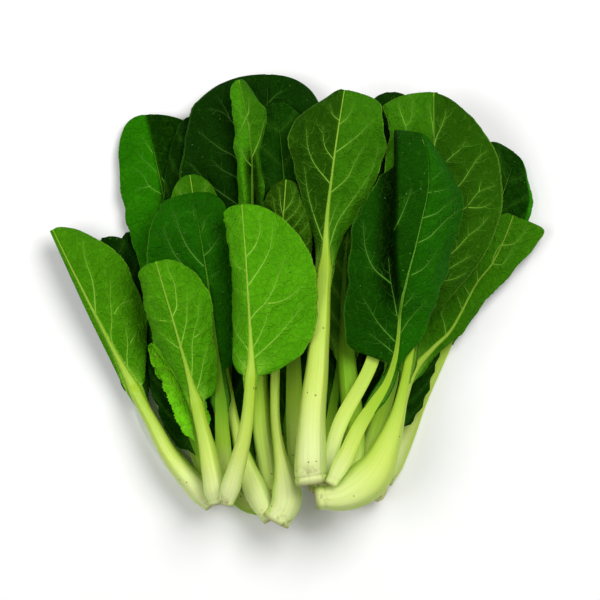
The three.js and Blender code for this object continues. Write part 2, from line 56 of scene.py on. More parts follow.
# How a leaf is built, in millimetres: the same values as the solids are made from
class Leaf(namedtuple(
    "Leaf", "head number face path stalk start half widest tip fold curl wave wing base",
    defaults=((0.5, 0.5), (0.5, 0.5), (10, 10), (-16, -16), 1.4, 0, (0.45, 0.07)),
)):
    """A leaf: the face that is seen, the midrib's path, the stalk (width at its foot and neck, thickness, how
    fast it widens), the share of the leaf where the blade starts, and for its left and right half the width,
    where it is widest, how blunt the tip is, the fold at the midrib and the curl of the edge in degrees; then
    the height of its waves, the share of the blade that is only a narrow wing, and how narrow the foot is and
    over what share of the leaf."""

    key = property(lambda self: f"{self.head}{self.number}")
    seed = property(lambda self: 100 * self.number + ord(self.head))
    up = property(lambda self: 1 if self.face == "upper" else -1)


# From the lowest leaf to the highest
LEAVES = [
    Leaf("b", 5, "upper", [(-20, -119), (-36, -111), (-60, -76), (-82, -20), (-97, 37)], stalk=(10, 5, 4, 1.5),
         start=0.46, half=(14, 15), fold=(8, 8), curl=(-20, -20), wave=1.5),
    Leaf("a", 1, "upper", [(-50, -112), (-83, -71), (-98, -22), (-110, 34)], stalk=(11, 6, 5, 1.5), start=0.46,
         half=(8, 20), widest=(0.5, 0.6), tip=(0.42, 0.42), fold=(6, 8), curl=(-12, -18), wave=1.2),
    Leaf("a", 3, "upper", [(-51, -104), (-63, -70), (-67, -15), (-75, 45), (-87, 102)], stalk=(9, 6, 5, 1.5),
         start=0.46, half=(26, 24), widest=(0.62, 0.6), tip=(0.4, 0.4), fold=(5, 14), curl=(-16, -14),
         wave=1.5),
    Leaf("b", 4, "upper", [(-23, -112), (-42, -72), (-55, -20), (-61, 40), (-61, 101)], stalk=(11, 6, 5, 1.5),
         start=0.44, half=(15, 16), widest=(0.6, 0.6), tip=(0.45, 0.45), curl=(-14, -14), wave=1.2),
    Leaf("d", 6, "upper", [(46, -103), (57, -78), (69, -49), (80, -26), (98, 20), (110, 54), (119, 80)],
         stalk=(12, 6, 6, 1.5), start=0.48, half=(24, 17), widest=(0.6, 0.7), tip=(0.42, 0.4), fold=(8, 4),
         curl=(-16, -20), wave=1.5),
    Leaf("c", 4, "upper", [(-4, -102), (-11, -70), (-15, -36), (-21, 41), (-19, 124)], stalk=(17, 10, 6, 1.5),
         start=0.42, half=(46, 34), widest=(0.56, 0.7), tip=(0.4, 0.4), fold=(5, 8), curl=(-14, -16), wave=2),
    Leaf("a", 8, "upper", [(-49, -101), (-64, -72), (-73, -44), (-82, -8)], stalk=(7, 4, 4, 1.5), start=0.22,
         half=(11, 12), wave=1.6),
    Leaf("b", 6, "upper", [(-21, -105), (-36, -72), (-42, -44), (-45, -6)], stalk=(7, 4, 4, 1.5), start=0.2,
         half=(16, 12)),
    Leaf("c", 6, "upper", [(-3, -100), (-9, -70), (-5, -40), (0, -4)], stalk=(8, 4, 4, 1.5), start=0.3,
         half=(13, 12)),
    Leaf("d", 8, "upper", [(22, -103), (21, -76), (31, -44), (36, -8)], stalk=(11, 5, 4, 1.5), start=0.24,
         half=(13, 13)),
    Leaf("d", 7, "upper", [(40, -103), (50, -74), (62, -42), (76, -4)], stalk=(9, 5, 5, 1.5), start=0.34,
         half=(14, 9), wave=1.2),
    Leaf("c", 2, "upper", [(-1, -102), (-4, -70), (-5, -33), (-8, 38), (-14, 108)], stalk=(12, 7, 5, 1.5),
         start=0.5, half=(19, 19), widest=(0.6, 0.6), tip=(0.45, 0.45), curl=(-10, -14), wave=1.5),
    Leaf("c", 5, "upper", [(10, -98), (17, -60), (21, -20), (23, 26)], stalk=(9, 5, 5, 1.5), start=0.36,
         half=(12, 12), widest=(0.55, 0.55), fold=(12, 12), curl=(-10, -10), wave=1),
    Leaf("d", 5, "back", [(42, -104), (50, -78), (56, -53), (62, -39), (73, -27), (82, -18), (97, 9), (105, 19),
         (111, 31), (117, 46)], stalk=(13, 5, 6, 1.5), start=0.4, half=(22, 20), widest=(0.6, 0.95),
         tip=(0.3, 0.1), fold=(6, 6), curl=(12, 16), wave=1.2),
    Leaf("d", 2, "back", [(29, -104), (36, -84), (45, -57), (49, -40), (50, 22), (47, 92)],
         stalk=(13, 8, 6, 1.5), start=0.44, half=(19, 19), widest=(0.6, 0.6), tip=(0.45, 0.45), curl=(12, 12),
         wave=1.2),
    Leaf("b", 2, "back", [(-17, -110), (-19, -92), (-22, -72), (-25, -10), (-27.5, 50), (-28, 78), (-30, 96),
         (-35, 120)], stalk=(13, 7, 5, 1.2), start=0.5, half=(10, 15), widest=(0.55, 0.86), tip=(0.4, 0.4),
         fold=(30, 16), curl=(24, 16), wave=0.8),
    Leaf("b", 1, "back", [(-17, -122), (-22, -114), (-27, -103), (-33, -86), (-38, -66), (-43, -40), (-52, 0),
         (-62, 68)], stalk=(24, 5, 6, 3), start=0.46, half=(17, 17), widest=(0.6, 0.6), tip=(0.42, 0.42),
         fold=(8, 8), curl=(14, 14), wave=1.2, base=(0.3, 0.12)),
    Leaf("b", 3, "back", [(-15, -123), (-9, -112), (-9, -103), (-11, -92), (-13, -82), (-15, -66), (-15, -40),
         (-14, -4), (-9, 65)], stalk=(40, 5, 6, 5), start=0.5, half=(15, 17), widest=(0.55, 0.5),
         tip=(0.42, 0.42), fold=(8, 8), curl=(16, 16), wave=2, base=(0.3, 0.12)),
    Leaf("d", 3, "back", [(27, -104), (28, -74), (24, -30), (23, 10), (27, 60)], stalk=(14, 10, 6, 1.2),
         start=0.46, half=(15, 15), widest=(0.6, 0.6), tip=(0.45, 0.45), fold=(8, 8), curl=(10, 10), wave=1),
    Leaf("c", 3, "upper", [(12, -101), (19, -72), (38, -34), (48, 10), (51, 60), (49, 114)],
         stalk=(9, 7, 6, 1.5), start=0.4, half=(23, 23), widest=(0.6, 0.6), tip=(0.42, 0.42), fold=(8, 8),
         curl=(-14, -16), wave=1.5),
    Leaf("d", 1, "back", [(7, -109), (22, -107), (38, -96), (47, -78), (52, -63), (56, -44), (64, 0), (71, 55),
         (72, 113)], stalk=(46, 5, 6, 2), start=0.4, half=(27, 38), widest=(0.55, 0.5), tip=(0.38, 0.8),
         fold=(5, 4), curl=(12, 14), wave=1.5, wing=0.17, base=(0.2, 0.15)),
    Leaf("a", 2, "back", [(-47, -114), (-79, -71), (-107, -15), (-136, 38)], stalk=(20, 10, 6, 1.2), start=0.44,
         half=(10, 29), widest=(0.65, 0.6), tip=(0.33, 0.36), fold=(96, 10), curl=(20, 22), wave=1.2),
    Leaf("a", 5, "upper", [(-43, -98), (-45, -55), (-51, 3), (-60, 58)], stalk=(11, 7, 5, 1.5), start=0.27,
         half=(31, 18), widest=(0.55, 0.55), tip=(0.38, 0.4), fold=(5, -22), curl=(-14, -24), wave=1.5,
         wing=0.15),
    Leaf("a", 7, "upper", [(-50, -98), (-56, -80), (-62, -61), (-70, -44), (-84, -25)], stalk=(7, 4, 4, 1.5),
         start=0.3, half=(8, 9), fold=(8, 20), curl=(-16, 10)),
    Leaf("c", 1, "back", [(5.5, -101), (4.5, -94), (4.5, -85), (5.5, -62), (8.5, -31), (12.2, 19), (13.8, 47),
         (16, 66), (19.3, 91), (23, 114)], stalk=(19, 8, 8, 1.2), start=0.545, half=(29, 27),
         widest=(0.74, 0.76), tip=(0.45, 0.4), fold=(6, 6), curl=(12, 14), wave=1.5, base=(0.85, 0.05)),
    Leaf("d", 4, "upper", [(15, -101), (23, -86.5), (30, -71.5), (37.4, -59.4), (45.7, -46.4), (50, -34),
         (52, -22), (53.4, -5.5), (57, 12), (61, 27), (65, 44), (68, 59), (68, 75), (64, 90)],
         stalk=(11, 6, 5, 1.2), start=0.27, half=(33, 19), widest=(0.3, 0.66), tip=(0.3, 0.35), fold=(14, 6),
         curl=(-20, -14), wave=1.5, wing=0.14),
    Leaf("a", 4, "back", [(-46, -113), (-55, -70), (-67, -25), (-80, 20)], stalk=(15, 7, 7, 1.5), start=0.42,
         half=(16, 26), widest=(0.75, 0.58), tip=(0.36, 0.36), fold=(44, 8), curl=(24, 14), wave=1.2),
    Leaf("a", 6, "back", [(-42, -113), (-31, -72), (-28, -40), (-29, -6), (-33, 51)], stalk=(13, 6, 6, 1.6),
         start=0.44, half=(16, 39), widest=(0.45, 0.46), tip=(0.35, 0.35), fold=(50, 6), curl=(16, 16),
         wave=1.5),
]
# The short stem of each head: its cut end, the way it points and its widest radius
CROWNS = [
    ("a", (-46, -114), 100, 5.5),
    ("b", (-16, -121), 95, 7),
    ("c", (10, -108), 98, 7),
    ("d", (37, -111), 68, 8),
]
CROWN_AFTER_LEAF = 6
YOUNG_LEAVES = ("a7", "b3")

# Rows along a blade, columns on each side of its midrib and rows along its stalk, by how near it is seen
DETAIL = {"near": (110, 32, 84), "middle": (72, 22, 64), "far": (44, 12, 44)}
# How a leaf looks: its skin and how light that is left and right of the midrib, which is partly the leaf's own
# colour and partly painted light and shade, for how the light falls on each half and on leaves that lie under
# others; its stalk, how many side veins each half has, in mm how quilted it is between them, how ruffled and
# how jagged its edge is and how far its tip rises, and how near it is seen. The usual values are those of a
# leaf that others hide.
Look = namedtuple(
    "Look", "skin tone stalk veins quilt ruffle jag rise seen",
    defaults=("deep_upper", (0.6, 0.6), "green_stalk", 4, 0.3, 0.8, 0.2, 0, "far"),
)
LOOKS = {
    "a1": Look(tone=(0.7, 0.7), seen="middle"),
    "a2": Look("bright_back", (0.8, 0.78), "pale_stalk", 5, 1.4, 0.7, 0.2, 8, "near"),
    "a3": Look("fresh_upper", (1.12, 0.18), "green_stalk", 5, 1.1, 0.7, 0.2, 6, "near"),
    "a4": Look("bright_back", (0.85, 0.88), "pale_stalk", 5, 1.4, 0.7, 0.2, 4, "near"),
    "a5": Look("dark_upper", (1.08, 1), "green_stalk", 5, 1.2, 0.9, 0.2, 3, "near"),
    "a6": Look("bright_back", (0.95, 1.05), "pale_stalk", 5, 1.5, 0.6, 0.2, 2, "near"),
    "a7": Look("young", (2.4, 2.4), "green_stalk", 5, 0.5, 1.7, 0.45, 2, "near"),
    "a8": Look(tone=(0.7, 0.7), quilt=0.4, ruffle=1.2, jag=0.5),
    "b1": Look("olive_back", (0.9, 0.9), "pale_stalk", 5, 0.4, 0.8, 0.2, 5, "middle"),
    "b2": Look("olive_back", (1.4, 0.85), "green_stalk", 5, 1.2, 0.9, 0.2, 9, "near"),
    "b3": Look("young", (0.16, 0.3), "pale_stalk", 9, 1.3, 1.3, 0.4, 5, "near"),
    "b4": Look(tone=(0.5, 0.5), veins=5, quilt=0.4, seen="middle"),
    "b6": Look(ruffle=1.0, jag=0.3),
    "c1": Look("olive_back", (0.37, 0.93), "pale_stalk", 5, 1.4, 0.7, 0.2, 9, "near"),
    "c2": Look("deep_upper", (1.1, 1.1), "green_stalk", 5, 0.4, 1.0, 0.2, 2, "middle"),
    "c3": Look("deep_upper", (0.7, 0.7), "pale_stalk", 5, 0.4, 0.8, 0.2, 0, "middle"),
    "c4": Look("deep_upper", (0.6, 0.65), "green_stalk", 6, 1.2, 0.9, 0.2, 4, "near"),
    "d1": Look("olive_back", (0.97, 0.5), "dark_ribbed_stalk", 6, 1.3, 0.8, 0.2, 5, "near"),
    "d2": Look(skin="olive_back", veins=5),
    "d3": Look(skin="olive_back", veins=5),
    "d4": Look("dark_upper", (0.6, 1.08), "dark_ribbed_stalk", 5, 1.3, 0.8, 0.2, 4, "near"),
    "d5": Look("olive_back", (0.97, 0.97), "pale_stalk", 5, 1.2, 0.6, 0.2, 6, "near"),
    "d6": Look("deep_upper", (0.95, 0.95), "pale_stalk", 5, 0.4, 0.8, 0.2, 6, "middle"),
    "d7": Look(tone=(0.7, 0.7)),
}

# Sizes that every leaf shares, as in the solids
FLAT_BESIDE_RIB = 0.7
WING_AT_BLADE_START = 1.6
RIB_HALF_WIDTH_AT_TIP = 0.8
RIB_TAPER = 1.4
RIB_DEPTH_PER_HALF_WIDTH = 1.1
USUAL_BASE_LENGTH = 0.07
SOLID_STALK_DROP = 0.8
SOLID_STATIONS = (5, 9)
TIP_CROWDING = 1.45
SECTION_STEPS = 24
LIFT_STEPS = 121

# Sizes of the finished blades and stalks, in mm
BLADE_THICKNESS = 0.55
EDGE_THINNING = 0.45
LAYER_GAP = 0.25
FLOOR_CLEARANCE = 0.05
STALK_DROP = 0.3
# How much of the solid's midrib shows, at the foot of the blade and at its tip, and over what share of the
# blade it gets that thin
RIB_SHOWN = {"back": (0.32, 0.32), "upper": (0.32, 0.2)}
RIB_FADE = 0.14
# Points beside the midrib, by half its seen width, and at most by half the width of the flat strip
BESIDE_RIB = np.array([0.5, 0.82, 1.12])
BESIDE_RIB_MOST = np.array([0.5, 0.7, 0.9])
EDGE_CROWDING = 0.9
# In a leaf seen from above the midrib ends level with the blade, which has a shallow channel along it
FLUSH_MIDRIB = -0.18
SUNKEN_STRIP = 1.1
# The blade runs on below its start as a tongue under the stalk, over this share of the leaf
TONGUE = 0.045
TONGUE_ROWS = 7

# A stalk is angular: where across it its ridge runs, from -1 at the left to 1, and how angular it is
KEELS = {"c1": 0.52, "a6": -0.3, "d1": 0.55, "a2": -0.35, "a4": 0.3}
KEEL_SHARPNESS = 0.7
KEEL_HEIGHT = 1.06
SHOULDER_AT = 0.86
HIGH_SHOULDER, LOW_SHOULDER = 0.82, 0.62
# Points of a stalk's cross-section on its outer and on its inner side
OUTER_POINTS, INNER_POINTS = 19, 8
# Rows near its foot, by share of the leaf, and the share of the blade at which the midrib ends
FOOT_ROWS = [0, 0.0015, 0.004, 0.008, 0.014, 0.0185, 0.0205, 0.022, 0.0235, 0.0255]
FOOT_ROWS_END = 0.031
FOOT_ROUNDING = (0.78, 0.93, 0.985)
MIDRIB_ENDS_AT = 0.985
# The ring round the foot of a stalk: its place and width as shares of the leaf, and how marked it is
JOINT_AT = 0.022
JOINT_WIDTH = 0.003
JOINT_DEPTH = 0.06
USUAL_JOINT = 0.2
JOINTS = {"c1": 0.9, "d1": 0.5}
BLUNTER_BASE = 1.4

# Painted shade deep in a crease, partly the darker face that shows in the fold, and a painted highlight along a
# right edge that catches the light
CREASE_SHADE = 0.8
PAINTED_HIGHLIGHT_RIGHT_EDGES = {"d6": 4.5}

# Side veins and their branches, in mm
VEIN_STEP = 1.3
VEIN_JOINS_WITHIN = 5
TRACED_VEIN_GAP = 16
VEIN_VALLEY = 3.6
TWIG_VALLEY = 1.8
BRANCH_GAP = 5.5
BRANCH_REACH = (5, 11)
BRANCH_STEP = 1.2
VEIN_SINK = {"back": 0.04, "upper": -0.1}
# Radius of a strong vein at its root and its end, of veins seen in the photo and of those made by rule
TRACED_RADIUS, RULED_RADIUS = (0.46, 0.18), (0.42, 0.14)
VEIN_TAPER = 0.7
LONG_VEIN = 28
# A vein ends where the blade is this far away, or this far out, and is not laid on steeper faces than this
OFF_BLADE = 1.4
VEIN_REACH = 0.95
STEEP_FACE = 0.35
TUBE_SIDES = 6

# The map of heights, in mm
CELL = 1.0
GRID_LOW = np.array([-150.0, -140.0])
GRID_SHAPE = (300, 280)


def mix(a, b, share):
    return a + (b - a) * share


def ease(share):
    share = np.clip(share, 0, 1)
    return share * share * (3 - 2 * share)


def ripple(x, y, length, seed):
    """A smooth random pattern of about the given wave length, from -1 to 1."""
    draw = np.random.default_rng(seed)
    total = 0
    for _ in range(5):
        turn, phase = draw.uniform(0, 2 * math.pi), draw.uniform(0, 2 * math.pi)
        stretch = draw.uniform(0.7, 1.4)
        along = (x * math.cos(turn) + y * math.sin(turn)) * 2 * math.pi / (length * stretch)
        total = total + np.sin(along + phase)
    return total / 3.2


# ---- the form of a leaf

class Spine:
    """The midrib seen from above: a smooth curve through the path's points, by share of its length."""

    def __init__(self, path):
        points = np.array(path, float)
        ends = [2 * points[0] - points[1], *points, 2 * points[-1] - points[-2]]
        run = []
        for a, b, c, d in zip(ends, ends[1:], ends[2:], ends[3:]):
            gaps = [max(float(((q - p) ** 2).sum()) ** 0.25, 1e-4) for p, q in ((a, b), (b, c), (c, d))]
            out = ((b - a) / gaps[0] - (c - a) / (gaps[0] + gaps[1]) + (c - b) / gaps[1]) * gaps[1]
            into = ((c - b) / gaps[1] - (d - b) / (gaps[1] + gaps[2]) + (d - c) / gaps[2]) * gaps[1]
            t = np.linspace(0, 1, 120, endpoint=False)[:, None]
            run.append(b + out * t + (3 * (c - b) - 2 * out - into) * t**2 + (2 * (b - c) + out + into) * t**3)
        self.points = np.concatenate([*run, [points[-1]]])
        steps = np.linalg.norm(np.diff(self.points, axis=0), axis=1)
        self.share = np.concatenate([[0], np.cumsum(steps)])
        self.length = self.share[-1]
        self.share /= self.length

    def raw(self, share):
        return np.stack([np.interp(share, self.share, self.points[:, k]) for k in (0, 1)], -1)

    def at(self, share):
        """The place on the midrib, from the bunch's middle, and the direction to the leaf's right."""
        step = 0.004
        ahead = self.raw(np.clip(share + step, 0, 1)) - self.raw(np.clip(share - step, 0, 1))
        ahead /= np.linalg.norm(ahead, axis=-1, keepdims=True)
        return self.raw(share) - BUNCH_MIDDLE, np.stack([ahead[..., 1], -ahead[..., 0]], -1)


def blade_share(leaf, share):
    return np.clip((share - leaf.start) / (1 - leaf.start), 0, 1)


def rib_half_width(leaf, share):
    base, neck, _, flare = leaf.stalk
    t = blade_share(leaf, share)
    rib = RIB_HALF_WIDTH_AT_TIP + (neck / 2 - RIB_HALF_WIDTH_AT_TIP) * (1 - t) ** RIB_TAPER
    narrowing, length = leaf.base
    opening = np.clip(1 - share / leaf.start, 0, 1) ** flare
    stalk = mix(narrowing, 1, ease(share / length)) * mix(neck / 2, base / 2, opening)
    return np.where(share >= leaf.start, rib, stalk)


def blade_half_width(leaf, share, side):
    along = blade_share(leaf, share)
    t = np.clip(along - leaf.wing, 0, 1) / (1 - leaf.wing)
    widest, to_tip = leaf.widest[side], leaf.tip[side]
    to_base = widest * to_tip / (1 - widest)
    peak = widest**to_base * (1 - widest) ** to_tip
    full = leaf.half[side] * t**to_base * (1 - t) ** to_tip / peak
    wing = (rib_half_width(leaf, share) + FLAT_BESIDE_RIB + WING_AT_BLADE_START) * (1 - along) ** 2
    return full + wing


def cross_section(leaf, share, side, columns):
    """One side of the blade across the midrib at one place: distances out and heights over the flat blade."""
    flat = float(rib_half_width(leaf, share)) + FLAT_BESIDE_RIB
    width = max(float(blade_half_width(leaf, share, side)), flat + 0.3)
    fold = math.radians(leaf.fold[side]) * float(ease(blade_share(leaf, share) * 4))
    middle = (np.arange(columns) + 0.5) / columns
    angle = fold * mix(0.6, 1, middle) + math.radians(leaf.curl[side]) * middle**2
    step = (width - flat) / columns
    out = np.concatenate([[flat], flat + np.cumsum(step * np.cos(angle))])
    height = np.concatenate([[0], np.cumsum(step * np.sin(angle))])
    return out, height


def wave_height(leaf, share, side, out):
    t = blade_share(leaf, share)
    turn = math.pi * 5 * t + (0.8, 2.6)[side] + leaf.number
    return leaf.wave * out**2 * np.sin(turn) * np.sin(math.pi * t)


def stalk_depth(leaf, share):
    neck, thick = leaf.stalk[1:3]
    half = rib_half_width(leaf, share)
    below = np.clip(1 - share / leaf.start, 0, 1)
    thinning = mix(0.6, 1, ease(share / USUAL_BASE_LENGTH))
    stalk = mix(RIB_DEPTH_PER_HALF_WIDTH * neck / 2, thick, ease(below * 1.5)) * thinning
    deep = np.where(share < leaf.start, stalk, RIB_DEPTH_PER_HALF_WIDTH * half)
    return half, deep, np.minimum(0.5 * half * below**1.2, 3)


# ---- where the solids lie: the height of each station of a leaf, read from its two nodes

def node_points(name):
    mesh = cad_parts[name].data
    points = np.zeros(len(mesh.vertices) * 3)
    mesh.vertices.foreach_get("co", points)
    return points.reshape(-1, 3) / MM


def solid_lift(leaf, spine, name):
    """Shares along a leaf and the heights of its solids there."""
    stalk_steps, blade_steps = SOLID_STATIONS
    shares = [leaf.start * k / stalk_steps for k in range(stalk_steps + 1)]
    shares += [
        leaf.start + (1 - leaf.start) * (1 - (1 - k / blade_steps) ** TIP_CROWDING)
        for k in range(1, blade_steps + 1)
    ]
    stalk, blade = node_points(name + "_stalk"), node_points(name + "_blade")
    lifts = []
    for share in shares[:-1]:
        point, side = spine.at(np.array(share))
        half, _, cup = stalk_depth(leaf, share)
        found = []
        for sign in (-1, 1):
            near = np.linalg.norm(stalk[:, :2] - (point + sign * half * side), axis=1)
            best = stalk[near < near.min() + 0.05]
            found.append(best[:, 2].max() - leaf.up * (cup - SOLID_STALK_DROP))
        lifts.append(max(found))
    tip = spine.at(np.array(1.0))[0]
    near = np.linalg.norm(blade[:, :2] - tip, axis=1)
    lifts.append(blade[np.argsort(near)[:2], 2].mean())
    return np.array(shares), np.array(lifts)


# Where a side of a blade is wider or narrower than its even outline: shares of the blade and factors
TRIMS = {
    ("a2", 0): ([0, 0.3, 1], [0.08, 0.25, 0.25]),
    ("a2", 1): ([0, 0.1, 0.2, 0.3, 0.7, 0.85, 0.95, 1], [0.4, 0.55, 0.75, 0.9, 0.98, 0.8, 0.6, 0.4]),
    ("a3", 0): ([0, 1], [0.85, 0.85]),
    ("a3", 1): ([0, 0.7, 0.82, 0.93, 1], [1, 1, 1.3, 1.6, 1.6]),
    ("a4", 0): ([0, 0.25, 0.4, 0.6, 0.9, 1], [0.4, 0.9, 1.4, 1.15, 1.05, 1.7]),
    ("a4", 1): ([0, 0.1, 0.4, 0.6, 0.7, 0.9, 1], [0.7, 0.68, 0.68, 0.85, 0.92, 0.85, 0.72]),
    ("a5", 0): ([0, 0.95, 1], [1, 1.05, 1.5]),
    ("a5", 1): ([0, 0.85, 1], [1, 1.2, 1.8]),
    ("a6", 0): ([0, 0.06, 0.2, 0.6, 0.75, 0.86, 0.93, 1], [0.3, 0.5, 0.6, 0.62, 0.8, 1.1, 1.5, 2.6]),
    ("a6", 1): ([0, 0.04, 0.12, 0.25, 0.6, 0.75, 0.9, 1], [0.3, 0.5, 0.79, 0.92, 0.98, 0.95, 0.85, 0.65]),
    ("b2", 0): ([0, 0.5, 0.65, 0.9, 1], [0.7, 0.7, 1, 1.05, 1.8]),
    ("b2", 1): ([0, 0.39, 0.475, 0.55, 0.65, 0.71, 0.78, 0.84, 0.88, 1],
                [1.4, 1.5, 0.95, 0.45, 0.3, 0.45, 0.78, 0.74, 0.5, 0.25]),
    ("c1", 0): ([0, 0.15, 0.3, 0.5, 0.7, 0.8, 0.88, 0.95, 1],
                [0.25, 0.35, 0.6, 0.8, 0.93, 0.82, 0.6, 0.4, 0.3]),
    ("c1", 1): ([0, 0.1, 0.2, 0.3, 0.7, 0.8, 0.9, 1], [0.4, 0.6, 0.9, 1.1, 1.05, 0.92, 0.95, 1.3]),
    ("c4", 0): ([0, 0.7, 0.85, 0.95, 1], [1, 1, 1.1, 1.1, 1]),
    ("d1", 0): ([0, 0.84, 0.9, 0.95, 1], [1, 1.03, 1.3, 1.8, 1.8]),
    ("d1", 1): ([0, 0.3, 0.4, 0.6, 0.85, 0.95, 1], [1, 0.8, 0.91, 1, 1.12, 1.25, 1.8]),
    ("d4", 0): ([0, 0.15, 0.4, 0.6, 0.75, 0.9, 0.95, 1], [0.6, 0.85, 0.88, 1.15, 1.05, 0.92, 1.15, 1.9]),
    ("d4", 1): ([0, 0.14, 0.22, 0.4, 0.55, 0.7, 0.8, 0.88, 0.95, 1],
                [0.6, 0.6, 1.3, 1.22, 1.08, 1.15, 1, 0.65, 0.4, 0.3]),
    ("d5", 0): ([0, 0.9, 1], [1, 0.85, 0.4]),
    ("d5", 1): ([0, 0.3, 0.6, 0.75, 0.9, 1], [1.4, 1.4, 1, 0.8, 0.93, 1.05]),
    ("d6", 0): ([0, 0.7, 0.85, 0.95, 1], [1, 1, 1.15, 1.4, 1.8]),
    ("d6", 1): ([0, 0.5, 0.8, 0.93, 1], [1, 1.1, 1.05, 0.85, 0.8]),
}

# Where a leaf is folded under along a straight line: the line's x seen from above, and the stretch of y over
# which the fold begins
FOLDS = {"d4": (50.3, 66, 73)}
# How far what lies beyond the line comes back and goes down, by its distance from the line
FOLD_BACK, FOLD_UNDER = 0.97, 0.6

# Where a midrib is seen beside the path that the solids follow, because the leaf is folded along it
SEEN_PATHS = {"a2": [(-49, -114), (-71, -90), (-82, -71), (-111.5, -15), (-138, 38)]}

# Where a stalk is narrower than that of its solid: shares of the leaf and factors
STALK_TRIMS = {"a2": ([0, 0.15, 0.36, 0.46, 0.75], [0.85, 0.66, 0.64, 0.7, 1])}

# How far the tip of a leaf is turned in its own plane, in degrees, left edge forwards
TIP_TURNS = {"d4": 25, "a3": 8, "d6": 20}

